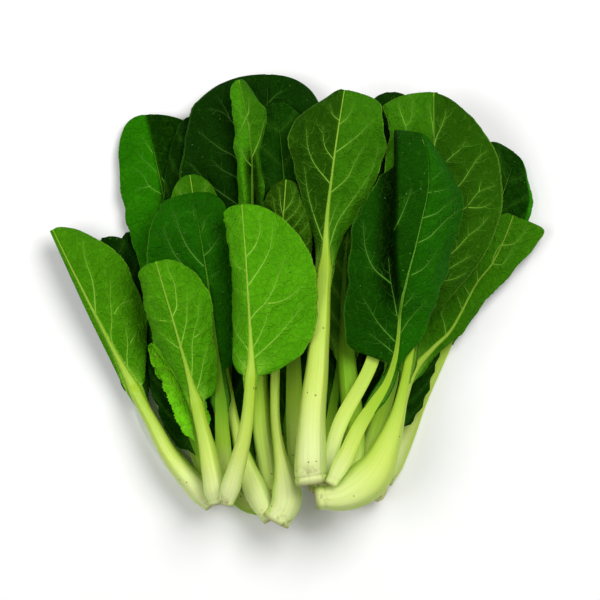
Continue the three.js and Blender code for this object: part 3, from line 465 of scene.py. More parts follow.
# Side veins of the leaves that are seen best, each from its root outwards, seen from above in mm
VEINS = {
    "a6": [
        [(-30.3, 22), (-27, 25.9), (-24.8, 29.7), (-23.1, 35.8), (-23.1, 40.2), (-23.7, 45.7)],
        [(-28.1, 6.6), (-24.8, 12.1), (-20.6, 19.2), (-17.6, 26.4), (-16.5, 34.1), (-16, 41.2)],
        [(-25.9, -12.1), (-23.4, -7.7), (-18.7, -2.2), (-15.4, 4.4), (-12.4, 13.8), (-9.6, 21.5)],
        [(-25.3, -28.6), (-22.6, -22), (-20.4, -15.4), (-19, -9.4), (-18.7, -2.8)],
        [(-18.7, -2.8), (-13.8, -2.2), (-7.2, 0.6), (0, 6.6)],
        [(-24.2, -33.6), (-19.2, -28.1), (-12.7, -20.9), (-8.2, -14.9), (-2.2, -6.6), (-1.7, -2.8)],
        [(-30.3, 14.9), (-34.1, 16.5), (-38, 20.4)], [(-29.2, 1.7), (-33, 3.3), (-36.9, 5.5)],
        [(-29.2, -31.4), (-31.9, -24.8), (-35.2, -20.4), (-37.4, -13.8)],
        [(-30.8, -39.6), (-34.1, -34.1), (-37.4, -27.5)],
    ],
    "a2": [
        [(-112.8, -8.8), (-113.9, 1.1), (-115, 8.2), (-117.2, 14.9), (-119.9, 22), (-121, 31.9)],
        [(-100.1, -35.8), (-103.4, -28.6), (-105.6, -20.4), (-105.1, -12.7), (-105.9, -1.7), (-105.9, 9.4)],
        [(-104, -8.8), (-100.1, -3.3), (-94.1, -1.1)],
        [(-94.1, -44), (-96.3, -33), (-96.3, -24.8), (-97.4, -18.2), (-97.4, -14.9), (-95.7, -12.1)],
        [(-95.2, -24.8), (-92.1, -19.2)],
    ],
    "a4": [
        [(-73.7, -11), (-70.4, -5.5), (-69.9, 1.1), (-70.4, 8.2), (-73.2, 14.9), (-74.2, 19.8)],
        [(-66.6, -26.4), (-64.6, -18.2), (-63.3, -12.1), (-63, -4.4), (-62.7, 2.8)],
        [(-60.5, -46.8), (-60, -34.1), (-60.2, -25.9), (-59.1, -18.2), (-57.2, -11), (-56.4, -2.8)],
        [(-59.4, -21.5), (-56.7, -19.8), (-53.4, -15.4)],
        [(-56.7, -53.4), (-55, -44), (-53.9, -34.1), (-51.7, -26.4)],
        [(-74.2, -13.2), (-78.7, -12.4), (-83.6, -9.9)], [(-79.2, 0), (-84.2, 1.1)],
        [(-68.2, -28.6), (-73.2, -23.7), (-78.7, -17.9)],
    ],
    "a5": [
        [(-55, 23.1), (-51.2, 26.1), (-47.3, 31.4), (-45.1, 35.8)],
        [(-51.7, 8.2), (-49.5, 12.1), (-46.2, 14.9)],
        [(-55.6, 16), (-60.5, 22), (-64.6, 29.2), (-67.7, 37.4), (-69.9, 45.1), (-71.5, 47.9)],
        [(-60.5, 13.8), (-68.8, 22), (-73.2, 30.3), (-76.5, 38.5)], [(-57.2, 42.9), (-59.4, 45.7), (-60, 49.5)],
        [(-57.2, 34.7), (-54.5, 39.1), (-53.4, 44)],
    ],
    "a3": [
        [(-71.5, 57.2), (-74.8, 61.3), (-78.1, 66.8), (-84.7, 73.7), (-90.2, 78.7), (-91.9, 80.9)],
        [(-71.5, 52.8), (-75.4, 58.3), (-80.9, 60.5), (-84.2, 62.7), (-89.1, 69.3), (-94.6, 73.2)],
        [(-84.2, 62.4), (-89.1, 61.1), (-92.4, 59.7)], [(-80.3, 77), (-83.6, 82), (-89.7, 89.7)],
    ],
    "b2": [
        [(-27.5, 90.2), (-29.2, 96.8), (-30.8, 99.6), (-32.5, 99.3), (-35.2, 105.3)],
        [(-30.8, 99.6), (-29.7, 101.8), (-29.4, 109.5)], [(-32.5, 99), (-33.6, 93.5), (-34.7, 89.7)],
        [(-27, 72.6), (-31.4, 77), (-34.7, 84.7)], [(-27, 77), (-24.2, 84.7), (-22, 92.4), (-20.9, 97.9)],
    ],
    "c1": [
        [(12.7, 20.9), (14.9, 27.5), (19.2, 41.2), (26.4, 52.3), (37.4, 68.8), (41.8, 82.5)],
        [(15.4, 57.2), (24.8, 66), (28.6, 74.2), (34.1, 83.6)],
        [(18.2, 79.2), (24.8, 84.2), (31.4, 89.7), (38.5, 96.8)],
        [(13.8, 62.2), (5.5, 74.2), (2.8, 82.5), (2.2, 92.4)], [(16.5, 75.4), (12.1, 82.5), (11, 93.5)],
        [(11, 27.5), (3.3, 55), (1.1, 71.5)], [(19.8, 96.8), (16.5, 100.1), (14.9, 105.6)],
        [(19.8, 94.6), (24.8, 99), (27.5, 104.5)], [(12.1, 33), (17.1, 46.8), (19.8, 53.4)],
    ],
    "c4": [
        [(-31.9, 72.6), (-38, 78.7), (-45.1, 82.5), (-52.3, 88), (-57.8, 92.4)],
        [(-34.1, 50.6), (-49, 61.1), (-54.5, 66), (-59.4, 71.5), (-64.1, 75.1)],
        [(-31.9, 63.8), (-36.9, 67.1), (-45.1, 71.5), (-50.1, 76.5)],
        [(-33, 91.3), (-39.6, 98.5), (-43.7, 102.6), (-48.4, 104.2), (-52.3, 104.5)],
        [(-40.2, 99.6), (-42.9, 105.3), (-47.3, 111.7)], [(-20.9, 88), (-13.8, 97.9), (-6.6, 107.8)],
        [(-19.8, 107.3), (-14.3, 112.8), (-8.8, 115.5)],
    ],
    "d1": [
        [(68.2, 13.8), (78.1, 20.9), (84.2, 26.4), (90.8, 34.1), (96.3, 38.5), (101.2, 44)],
        [(67.1, 6.1), (76.5, 13.2), (83.6, 18.2), (91.9, 23.1)],
        [(67.1, 2.2), (76.5, 8.8), (82.5, 10.5), (89.1, 13.8)],
        [(71.5, 34.1), (81.4, 42.9), (90.2, 50.1), (96.3, 57.8), (105.3, 61.6)], [(96.3, 57.8), (97.4, 63.8)],
        [(90.2, 49.5), (97.4, 49.5), (102.9, 51.7)],
        [(71.5, 48.4), (79.8, 56.1), (86.9, 62.7), (91.9, 70.4), (96.3, 77), (100.7, 80.3)],
        [(71.5, 67.1), (80.9, 77), (86.4, 81.7), (89.1, 85.8)],
        [(72.1, 82.5), (73.2, 87.5), (77, 96.3), (78.7, 102.3)],
        [(71.5, 88), (71, 95.2), (69.9, 102.9), (69.6, 106.2)],
        [(71.5, 71.5), (64.9, 81.4), (56.4, 92.1), (59.4, 98.2), (60.5, 104.5), (60, 111.1)],
        [(56.4, 94.6), (53.4, 102.9), (52.3, 108.4)],
    ],
    "d4": [
        [(57.8, 11.6), (64.9, 15.4), (69.9, 20.9), (72.9, 25.9)],
        [(62.2, 29.7), (68.8, 33), (73.2, 37.4), (79.8, 44), (86.4, 48.4)],
        [(65.5, 42.9), (72.6, 45.7), (77, 49.5), (82.5, 53.9)], [(69.9, 57.2), (75.4, 58.3), (79.2, 59.7)],
        [(71.5, 62.7), (73.2, 66), (75.4, 69.3)], [(50.1, 37.4), (53.9, 45.7), (57.2, 53.9), (59.1, 59.4)],
        [(53.1, -23.7), (55, -17.6), (58.9, -11), (64.4, -4.4), (67.1, -1.7)],
        [(51.7, -15.4), (49.5, 0), (47.9, 9.4), (46.8, 22)],
        [(47.9, 8.2), (38.5, 16.5), (34.1, 27.5), (33, 41.2)], [(50.6, -24.8), (41.2, -13.8), (33, 0)],
        [(51.7, -30.8), (44, -24.8), (36.3, -19.2)], [(52.8, -5.5), (57.2, -1.7), (61.1, 3.9)],
    ],
    "d5": [
        [(97.4, 8.8), (96.8, 13.8), (95.7, 18.2)], [(88, -6.6), (86.4, -0.6), (84.7, 4.4)],
        [(93, 1.7), (89.7, 6.6), (87.5, 9.9)], [(105.1, 18.7), (107.3, 25.9), (111.1, 31.4), (116.1, 41.8)],
        [(105.6, 18.7), (110, 18.2), (112.8, 20.9), (116.6, 28.6)],
        [(80.3, -22), (78.7, -13.8), (77, -8.8), (79.8, -1.7)],
        [(110, 29.7), (116.6, 30.3), (121, 34.1), (124.3, 39.6)],
    ],
    "b3": [
        [(-8.2, 47.3), (-6.1, 51.2), (-4.4, 57.2), (-3.9, 60.5)],
        [(-8.8, 40.7), (-5, 45.1), (-1.7, 50.6), (0, 55)],
        [(-9.4, 33.6), (-3.9, 39.1), (-0.6, 44.6), (1.7, 49)],
        [(-9.9, 26.4), (-3.9, 32.5), (1.7, 38.5), (3.9, 42.9)],
        [(-10.5, 19.2), (-2.2, 25.9), (3.3, 30.8), (5.5, 35.2)],
        [(-8.8, 44.6), (-11, 49.5), (-12.1, 55), (-12.7, 60.5)],
        [(-9.4, 35.8), (-12.7, 41.8), (-14.9, 48.4), (-16, 53.9)], [(-9.9, 27.5), (-13.8, 34.1), (-16.5, 40.7)],
    ],
}

# Deep creases that run along a leaf, each with its line seen from above in mm, its depth in mm, how far it
# reaches to the left and to the right of the line, how far it lifts the rest of the leaf, and the share of the
# line over which it deepens
CREASE_STEPS = 80
Crease = namedtuple("Crease", "line depth left right lift opening")
CREASES = {
    "d4": Crease([(50.5, 96), (50.2, 60), (49.6, 25), (51.5, 0), (52.5, -16)], 13, 15, 2, 9, 0.1),
    "b2": Crease([(-30.5, 90), (-28.8, 75), (-27, 55), (-26, 25)], 9, 5, 7, 3, 0.45),
}


def crease_at(leaf, x, y, across):
    """How far the crease of a leaf moves its points up or down, and how deep inside it they are, 0 to 1."""
    crease = CREASES.get(leaf.key)
    if crease is None:
        return 0 * x, 0 * x
    line = np.array(crease.line, float)
    steps = np.linspace(0, len(line) - 1, CREASE_STEPS)
    line = np.stack([np.interp(steps, range(len(line)), line[:, k]) for k in (0, 1)], -1)
    spots = np.stack([x, y], -1) + BUNCH_MIDDLE
    distances = np.linalg.norm(spots[..., None, :] - line, axis=-1)
    nearest = distances.argmin(-1)
    distance = distances.min(-1)
    to_right = spots[..., 0] > line[nearest, 0]
    reach = np.where(to_right, crease.right, crease.left)
    last = CREASE_STEPS - 1
    ends = ease(nearest / last / crease.opening) * ease((last - nearest) / 30)
    valley = np.clip(1 - distance / reach, 0, 1) ** 1.2 * ends
    return crease.lift * (1 - across**2) * ends - crease.depth * valley, valley


def smooth_along(values, reach):
    """A running average over a few neighbours, with the ends held."""
    held = np.concatenate([np.full(reach, values[0]), values, np.full(reach, values[-1])])
    return np.convolve(held, np.ones(2 * reach + 1) / (2 * reach + 1), "valid")


def widest_near(values, reach):
    """The greatest value among close neighbours, along every axis."""
    for axis in range(values.ndim):
        shifted = [np.roll(values, k, axis) for k in range(-reach, reach + 1)]
        values = np.max(shifted, axis=0)
    return values


def soften(values, reach):
    """Averages over close neighbours, along every axis, with the edges held."""
    for axis in range(values.ndim):
        values = np.apply_along_axis(smooth_along, axis, values, reach)
    return values


# ---- the surface that leaves lie on, as a map of heights that grows leaf by leaf

heights = np.zeros(GRID_SHAPE)


def cells_of(x, y):
    column = np.clip(((x - GRID_LOW[0]) / CELL).astype(int), 0, GRID_SHAPE[0] - 1)
    line = np.clip(((y - GRID_LOW[1]) / CELL).astype(int), 0, GRID_SHAPE[1] - 1)
    return column, line


def height_under(x, y):
    column, line = cells_of(x, y)
    return heights[column, line]


def add_to_heights(points, thickness=0):
    """Marks a grid of points, filled in between, as the new top of the cells that it covers."""
    dense = points
    for axis in (0, 1):
        a, b = np.delete(dense, -1, axis), np.delete(dense, 0, axis)
        for share in (0.33, 0.67):
            dense = np.concatenate([dense, mix(a, b, share)], axis)
    flat = dense.reshape(-1, 3)
    column, line = cells_of(flat[:, 0], flat[:, 1])
    np.maximum.at(heights, (column, line), flat[:, 2] + thickness)


# ---- meshes

def add_object(name, data):
    thing = bpy.data.objects.new(name, data)
    bpy.context.scene.collection.objects.link(thing)
    return thing


def set_marks(mesh, marks):
    """Named values on the points of a mesh."""
    for label, values in marks.items():
        mesh.attributes.new(label, "FLOAT", "POINT").data.foreach_set("value", np.asarray(values, np.float32))


def mesh_object(name, points, faces, marks, material):
    """A mesh piece in metres at the origin, faces outwards, with named values on its points."""
    mesh = bpy.data.meshes.new(name)
    mesh.from_pydata((points * MM).tolist(), [], faces)
    work = bmesh.new()
    work.from_mesh(mesh)
    if work.calc_volume(signed=True) < 0:
        bmesh.ops.reverse_faces(work, faces=work.faces)
    work.to_mesh(mesh)
    work.free()
    set_marks(mesh, marks)
    mesh.shade_smooth()
    mesh.materials.append(material)
    return add_object(name, mesh)


def grid_faces(rows, columns, first=0, around=False):
    wide = columns if around else columns - 1
    return [
        (first + i * columns + j, first + i * columns + (j + 1) % columns,
         first + (i + 1) * columns + (j + 1) % columns, first + (i + 1) * columns + j)
        for i in range(rows - 1) for j in range(wide)
    ]


def seen_rib(leaf, share):
    """Half the width of the midrib that shows: it thins quickly once the blade has begun."""
    t = blade_share(leaf, share)
    left = mix(*RIB_SHOWN[leaf.face], t)
    return rib_half_width(leaf, share) * (left + (1 - left) * np.exp(-t / RIB_FADE))


def vein_turns(leaf, look, spine, t, across, out):
    """A count that grows by one from each side vein to the next, and the distance between them in mm.

    A side vein leaves the midrib steeply at the foot of the blade and more openly near the tip, and bends
    towards the tip as it nears the edge."""
    blade_length = spine.length * (1 - leaf.start)
    u = out * (0.85 + 0.35 * across**2) / blade_length
    root = (t - 2 * u) / (1 - 1.15 * u)
    seed = 11 + leaf.number + ord(leaf.head)
    sway = np.where(across > 0, ripple(out, t * 90, 40, seed), ripple(out, t * 90, 40, seed + 50))
    count = look.veins * root / 0.93 + 0.45 + 0.2 * sway * ease(out / 20)
    return count, np.full_like(count, blade_length / look.veins * 0.6)


def traced_veins(leaf, spine):
    """The side veins given for a leaf, seen from above, each joined to the midrib if it starts beside it."""
    midrib = spine.at(np.linspace(leaf.start, 1, 200))[0]
    lines = []
    for path in VEINS.get(leaf.key, []):
        vein = Spine(path)
        share = np.linspace(0, 1, max(int(vein.length / VEIN_STEP), 4))
        points = vein.at(share)[0]
        to_midrib = midrib[np.linalg.norm(midrib - points[0], axis=1).argmin()] - points[0]
        if np.linalg.norm(to_midrib) < VEIN_JOINS_WITHIN:
            points = points + to_midrib * ((1 - share) ** 2)[:, None]
        lines.append(points)
    draw = np.random.default_rng(31 * leaf.number + ord(leaf.head))
    return lines, [twig for line in lines for twig in branches_of(line, lines, midrib, draw)]


def branches_of(line, lines, midrib, draw):
    """Thin veins that leave a side vein to both sides, bend along with it and end where they meet another."""
    others = np.concatenate([midrib, *[other for other in lines if other is not line]])
    number = int(len(line) * VEIN_STEP / BRANCH_GAP)
    way = draw.choice([-1, 1])
    twigs = []
    for k in range(number):
        place = (k + draw.uniform(0.7, 1.1)) / (number + 0.4) * (len(line) - 2)
        root = mix(line[int(place)], line[int(place) + 1], place % 1)
        ahead = line[int(place) + 1] - line[int(place)]
        heading = math.atan2(ahead[1], ahead[0]) + way * math.radians(draw.uniform(42, 60))
        reach = draw.uniform(*BRANCH_REACH)
        twig = [root]
        while len(twig) * BRANCH_STEP < reach:
            step = np.array([math.cos(heading), math.sin(heading)]) * BRANCH_STEP
            twig.append(twig[-1] + step)
            heading -= way * math.radians(draw.uniform(-6, 16))
            if np.linalg.norm(others - twig[-1], axis=1).min() < BRANCH_STEP:
                break
        if len(twig) > 3:
            twigs.append(np.array(twig))
        way = -way
    return twigs


def distance_to(lines, x, y):
    """The distance from places to the nearest point of the lines."""
    points = np.concatenate(lines)
    return np.sqrt((x[..., None] - points[:, 0]) ** 2 + (y[..., None] - points[:, 1]) ** 2).min(-1)


def stalk_trim(leaf, share):
    """How much narrower than its solid the stalk is, as a factor."""
    return np.interp(share, *STALK_TRIMS.get(leaf.key, ([0, 1], [1, 1])))


def half_blade(leaf, look, share, number, out_share):
    """One side of the blade: distance out from the midrib, height and share of the way to the edge."""
    seed, columns = leaf.seed, SECTION_STEPS
    spots = out_share * columns
    out, height = [], []
    for place in share:
        far, high = cross_section(leaf, max(place, leaf.start), number, columns)
        out.append(np.interp(spots, np.arange(columns + 1), far))
        height.append(np.interp(spots, np.arange(columns + 1), high))
    out, height = np.array(out), np.array(height)
    across = np.broadcast_to(out_share, out.shape)
    t = blade_share(leaf, share)[:, None]
    rib = rib_half_width(leaf, share)[:, None]
    flat = rib * stalk_trim(leaf, share)[:, None] + FLAT_BESIDE_RIB
    out = out + flat - rib - FLAT_BESIDE_RIB
    arc = t * 100
    edge = 0.8 * ripple(arc, number * 50 + 0 * arc, 15, seed + 3)
    edge = edge + look.jag * ripple(arc, 0 * arc, 3.2, seed + 4)
    edge = edge + 0.15 * ripple(arc, 9 + 0 * arc, 2.3, seed + 6)
    out = out + edge * across**3 * np.sin(math.pi * t) ** 0.4
    if (leaf.key, number) in TRIMS:
        out = flat + (out - flat) * np.interp(t, *TRIMS[leaf.key, number])
    tongue = ease((share[:, None] - share[0]) / (leaf.start - share[0]))
    out = flat * mix(0.85, 1, tongue) + (out - flat) * tongue
    ruffle = look.ruffle * across**4 * np.sin(math.pi * t) ** 0.5
    ruffle = ruffle * ripple(arc, 40 * number + 0 * arc, 11, seed + 5)
    height = height + wave_height(leaf, share[:, None], number, across) + ruffle
    return out, height, across


def build_blade(leaf, look, spine, name, lift_of):
    """The blade with its skin's marks; also its form, on which the side veins are laid."""
    seed = leaf.seed
    rows, half_columns, _ = DETAIL[look.seen]
    t = 1 - (1 - np.linspace(0, 1, rows)) ** TIP_CROWDING
    foot = np.linspace(leaf.start - TONGUE, leaf.start, TONGUE_ROWS, endpoint=False)
    share = np.concatenate([foot, leaf.start + (1 - leaf.start) * t])
    point, side = spine.at(share)
    turn = math.radians(TIP_TURNS.get(leaf.key, 0)) * ease(blade_share(leaf, share) * 3.5 - 2.5)
    side = np.stack([
        side[:, 0] * np.cos(turn) + side[:, 1] * np.sin(turn),
        side[:, 1] * np.cos(turn) - side[:, 0] * np.sin(turn),
    ], -1)
    rib, narrow = rib_half_width(leaf, share), seen_rib(leaf, share)
    flat = rib * stalk_trim(leaf, share) + FLAT_BESIDE_RIB
    out_share = np.linspace(0, 1, half_columns + 1) ** EDGE_CROWDING
    left, right = (half_blade(leaf, look, share, number, out_share) for number in (0, 1))
    beside = np.minimum(narrow[:, None] * BESIDE_RIB, flat[:, None] * BESIDE_RIB_MOST)
    sunk = np.array([-1, -1, 0]) * (SUNKEN_STRIP if leaf.face == "upper" else 0) + 0 * beside
    middle_x = np.concatenate([-beside[:, ::-1], 0 * share[:, None], beside], 1)
    middle_high = np.concatenate([sunk[:, ::-1], sunk[:, :1], sunk], 1)
    x = np.concatenate([-left[0][:, ::-1], middle_x, right[0]], 1)
    height = np.concatenate([left[1][:, ::-1], middle_high, right[1]], 1)
    across = np.concatenate([-left[2][:, ::-1], 0 * middle_x, right[2]], 1)
    t = blade_share(leaf, share)[:, None] + 0 * x
    count, gap = vein_turns(leaf, look, spine, t, across, np.abs(x))
    place_x = point[:, 0:1] + side[:, 0:1] * x
    place_y = point[:, 1:2] + side[:, 1:2] * x
    lines, twigs = traced_veins(leaf, spine)
    if lines:
        away = distance_to(lines, place_x, place_y)
        gap = np.full_like(x, TRACED_VEIN_GAP)
        count = np.clip(away / gap + 0.08, 0, 0.5)
        from_twig = distance_to(twigs, place_x, place_y)
        swell = 1 - np.exp(-(away / VEIN_VALLEY) ** 2) - 0.45 * np.exp(-(from_twig / TWIG_VALLEY) ** 2)
    else:
        swell = np.sin(math.pi * (count - 0.5)) ** 2
    swell = swell * (0.65 + 0.35 * ripple(place_x, place_y, 12, seed + 7))
    hold = ease((np.abs(x) - flat[:, None]) / 5) * (1 - np.abs(across) ** 5) * ease(t * 6)
    height = height + look.quilt * hold * (swell - 0.5)
    sag = 1.7 * np.abs(across) ** 1.5 * ripple(place_x, place_y, 27, seed + 1)
    bumps = 0.3 * ripple(place_x, place_y, 9, seed + 2) + 0.26 * ripple(place_x, place_y, 4.5, seed + 9)
    place_z = lift_of(share)[:, None] + leaf.up * height + sag + hold * bumps
    creased, in_crease = crease_at(leaf, place_x, place_y, across)
    place_z = place_z + creased
    if leaf.key in FOLDS:
        line, first, last = FOLDS[leaf.key]
        beyond = np.maximum(line - place_x - BUNCH_MIDDLE[0], 0)
        beyond = beyond * ease((place_y + BUNCH_MIDDLE[1] - first) / (last - first))
        place_x = place_x + FOLD_BACK * beyond
        place_z = place_z - FOLD_UNDER * beyond
    low = place_z - BLADE_THICKNESS / 2
    need = np.maximum(height_under(place_x, place_y) + LAYER_GAP - low, 0)
    need = soften(widest_near(need, 1), 2)
    near_rib = (np.abs(x) - rib[:, None]) / 3
    need = need * (ease(near_rib) if leaf.face == "back" else ease(near_rib + 1.2))
    place_z = np.maximum(place_z + need, FLOOR_CLEARANCE + BLADE_THICKNESS / 2)
    grid = np.stack([place_x, place_y, place_z], -1)
    rows, columns = x.shape
    normal = np.cross(np.gradient(grid, axis=1), np.gradient(grid, axis=0))
    normal /= np.linalg.norm(normal, axis=-1, keepdims=True) + 1e-9
    half = BLADE_THICKNESS / 2 * (1 - EDGE_THINNING * np.abs(across) ** 6)[..., None]
    front, back = grid + normal * half, grid - normal * half
    points = np.concatenate([front.reshape(-1, 3), back.reshape(-1, 3)])
    size = rows * columns
    faces = grid_faces(rows, columns)
    faces += [(a + size, d + size, c + size, b + size) for a, b, c, d in faces]
    rim = [*range(columns), *[i * columns + columns - 1 for i in range(1, rows)]]
    rim += [*range(size - 2, size - columns - 1, -1), *[i * columns for i in range(rows - 2, 0, -1)]]
    faces += [(b, a, a + size, b + size) for a, b in zip(rim, rim[1:] + rim[:1])]
    # The tone is partly the leaf's own colour and partly painted light and shade: one half made darker than the
    # other, painted shade deep in a crease, and a painted highlight along a right edge that catches the light
    tone = mix(look.tone[0], look.tone[1], ease(x / 3 + 0.5)) * (1 - CREASE_SHADE * ease(1.5 * in_crease))
    tone = tone + PAINTED_HIGHLIGHT_RIGHT_EDGES.get(leaf.key, 0) * ease((across - 0.82) / 0.08)
    marks = {
        "across": across, "along": t, "vein_count": count, "vein_gap": gap,
        "rib_share": np.abs(x) / narrow[:, None], "tone": tone, "painted": np.full_like(x, 0 if lines else 1),
    }
    marks = {label: np.tile(values.ravel(), 2) for label, values in marks.items()}
    front_is_under = (normal[..., 2].mean() > 0) == (leaf.face == "back")
    marks["under"] = np.repeat([float(front_is_under), float(not front_is_under)], size)
    piece = mesh_object(name, points, faces, marks, materials[look.skin])
    add_to_heights(grid, BLADE_THICKNESS / 2)
    return piece, (grid, normal, across, count, lines, twigs)


def build_stalk(leaf, look, spine, name, lift_of):
    """The stalk, which runs on as the midrib nearly to the tip."""
    seed = leaf.seed
    draw = np.random.default_rng(seed)
    rows = DETAIL[look.seen][2]
    last = leaf.start + (1 - leaf.start) * MIDRIB_ENDS_AT
    share = np.concatenate([FOOT_ROWS, np.linspace(FOOT_ROWS_END, last, rows)])
    joint = np.exp(-((share - JOINT_AT) / JOINT_WIDTH) ** 2) * JOINTS.get(leaf.key, USUAL_JOINT)
    closing = 1 - JOINT_DEPTH * joint
    closing[:len(FOOT_ROUNDING)] = FOOT_ROUNDING
    point, side = spine.at(share)
    half, deep, cup = stalk_depth(leaf, share)
    thin = np.clip((share - leaf.start) / (last - leaf.start), 0, 1)
    half = np.where(share > leaf.start, seen_rib(leaf, share), half)
    half = half * stalk_trim(leaf, share)
    deep = deep * np.where(share > leaf.start, np.maximum(half / rib_half_width(leaf, share), 0.5), 1)
    narrowing, length = leaf.base
    foot = ease(share / length)
    half = half * closing * mix(min(narrowing * BLUNTER_BASE, 1), 1, foot) / mix(narrowing, 1, foot)
    deep = deep * closing
    around = np.linspace(math.pi, 0, OUTER_POINTS)
    outer = np.cos(around)
    inner = np.linspace(1, -1, INNER_POINTS + 2)[1:-1]
    keel_at = draw.uniform(0.25, 0.5) * draw.choice([-1, 1])
    keel_at = KEELS.get(leaf.key, keel_at)
    outer[np.abs(outer - keel_at).argmin()] = keel_at
    left_high, right_high = (HIGH_SHOULDER, LOW_SHOULDER) if keel_at > 0 else (LOW_SHOULDER, HIGH_SHOULDER)
    corners = [-1, -SHOULDER_AT, keel_at, SHOULDER_AT, 1]
    flat_faces = np.interp(outer, corners, [0, left_high, KEEL_HEIGHT, right_high, 0])
    bow = mix((1 - np.abs(outer) ** 2.3) ** 0.62, flat_faces, KEEL_SHARPNESS)
    flute = 0.03 * np.exp(-((outer - keel_at) / 0.12) ** 2)
    ribs = 0.004 * np.cos(around * 13 + draw.uniform(0, 6)) * np.sin(around)
    strength = mix(1, 0.25, thin)[:, None]
    fall = deep[:, None] * (bow + (flute + ribs) * strength * np.minimum(half / 3, 1.6)[:, None])
    high_outer = cup[:, None] * outer**2 - fall
    high_inner = cup[:, None] * inner**2 + 0 * fall[:, :1]
    across = np.concatenate([outer, inner])
    drop = STALK_DROP
    if leaf.face == "upper":
        drop = mix(STALK_DROP, FLUSH_MIDRIB, ease(blade_share(leaf, share) * 6))
    height = np.concatenate([high_outer, high_inner], 1) - (drop + 0 * share)[:, None]
    sway = 0.12 * ripple(share * 100, 0 * share, 14, seed + 8)
    swelling = 1 + 0.03 * ripple(share * 100, 0 * share, 17, seed + 9)
    x = half[:, None] * across * swelling[:, None] + sway[:, None]
    place_x, place_y = point[:, 0:1] + side[:, 0:1] * x, point[:, 1:2] + side[:, 1:2] * x
    place_z = lift_of(share)[:, None] + leaf.up * height
    place_z = place_z + crease_at(leaf, place_x, place_y, 0 * x)[0]
    grid = np.stack([place_x, place_y, place_z], -1)
    grid[..., 2] = np.maximum(grid[..., 2], FLOOR_CLEARANCE)
    rows, columns = x.shape
    points = grid.reshape(-1, 3)
    ends = np.array([grid[0].mean(0), grid[-1].mean(0)])
    faces = grid_faces(rows, columns, around=True)
    size = rows * columns
    faces += [(size, (j + 1) % columns, j) for j in range(columns)]
    last_row = size - columns
    faces += [(size + 1, last_row + j, last_row + (j + 1) % columns) for j in range(columns)]
    marks = {
        "stalk_along": np.append(np.repeat(np.clip(share / leaf.start, 0, 1), columns), [0, 1]),
        "along": np.append(np.repeat(blade_share(leaf, share), columns), [0, 1]),
        "around": np.append(np.tile(across, rows), [0, 0]),
        "seed": np.full(size + 2, (seed % 17) / 17),
        "joint": np.append(np.repeat(joint, columns), [0, 0]),
    }
    piece = mesh_object(name, np.concatenate([points, ends]), faces, marks, materials[look.stalk])
    add_to_heights(grid)
    return piece


def fitted_lift(leaf, look, spine, name):
    """The height along a leaf: that of its solids, raised towards the tip and where its stalk would touch."""
    shares, lifts = solid_lift(leaf, spine, name)
    fine = np.linspace(0, 1, LIFT_STEPS)
    lift = smooth_along(np.interp(fine, shares, lifts), 4) + look.rise * ease(blade_share(leaf, fine))
    point, side = spine.at(fine)
    half, deep, cup = stalk_depth(leaf, fine)
    need = np.zeros(len(fine))
    for across in np.linspace(-1, 1, 9):
        spot = point + side * (half * across)[:, None]
        bottom = -cup * across**2
        if leaf.up > 0:
            bottom = cup * across**2 - deep * math.sqrt(1 - across**2)
        bottom = lift + bottom - leaf.up * STALK_DROP
        need = np.maximum(need, height_under(spot[:, 0], spot[:, 1]) + LAYER_GAP - bottom)
    need = np.where(lift < 1.5, np.minimum(need, 0.4), need)
    lift = lift + smooth_along(widest_near(np.maximum(need, 0), 2), 3)
    return lambda share: np.interp(share, fine, lift)


# ---- shader building blocks

def colour(red, green, blue):
    """A paint colour given as 0 to 255 for red, green and blue, as Blender's linear values."""
    parts = [part / 255 for part in (red, green, blue)]
    return (*[p / 12.92 if p <= 0.04045 else ((p + 0.055) / 1.055) ** 2.4 for p in parts], 1)


class NodeKit:
    """Adds nodes to a tree. Their inputs are given as values or as other nodes' outputs."""

    def __init__(self, tree):
        self.tree = tree

    def fill(self, sockets, inputs):
        for name, value in inputs.items() if isinstance(inputs, dict) else enumerate(inputs):
            if isinstance(value, bpy.types.NodeSocket):
                self.tree.links.new(value, sockets[name])
            else:
                sockets[name].default_value = value

    def add(self, kind, inputs=(), **settings):
        node = self.tree.nodes.new(kind)
        for name, value in settings.items():
            setattr(node, name, value)
        self.fill(node.inputs, inputs)
        return node

    def calc(self, operation, *values, clamp=False):
        return self.add("ShaderNodeMath", values, operation=operation, use_clamp=clamp).outputs[0]

    def times(self, first, second):
        return self.calc("MULTIPLY", first, second)

    def vector(self, operation, inputs):
        return self.add("ShaderNodeVectorMath", inputs, operation=operation).outputs[0]

    def mark(self, name):
        return self.add("ShaderNodeAttribute", attribute_name=name).outputs["Fac"]

    def place(self):
        return self.add("ShaderNodeTexCoord").outputs["Object"]

    def ramp(self, value, low, high, to_low=0, to_high=1):
        """A smooth step: to_low at low, to_high at high, and held outside."""
        inputs = [value, low, high, to_low, to_high]
        return self.add("ShaderNodeMapRange", inputs, interpolation_type="SMOOTHSTEP").outputs[0]

    def blend(self, share, first, second):
        inputs = {0: share, 6: first, 7: second}
        return self.add("ShaderNodeMix", inputs, data_type="RGBA", blend_type="MIX").outputs[2]

    def noise(self, place, scale, detail=2, roughness=0.5):
        inputs = {"Vector": place, "Scale": scale, "Detail": detail, "Roughness": roughness}
        return self.add("ShaderNodeTexNoise", inputs).outputs["Fac"]

    def bump(self, height, distance):
        inputs = {"Height": height, "Distance": distance, "Strength": 1}
        return self.add("ShaderNodeBump", inputs).outputs[0]

    def dots(self, place, scale, share, size):
        """Round dots in some of the cells of an uneven grid: the share may be a number or a node's output."""
        cells = self.add("ShaderNodeTexVoronoi", {"Vector": place, "Scale": scale, "Randomness": 1})
        chosen = self.add("ShaderNodeSeparateColor", [cells.outputs["Color"]]).outputs[0]
        dot = self.ramp(cells.outputs["Distance"], size * 1.6, size)
        return self.times(self.calc("LESS_THAN", chosen, share), dot)


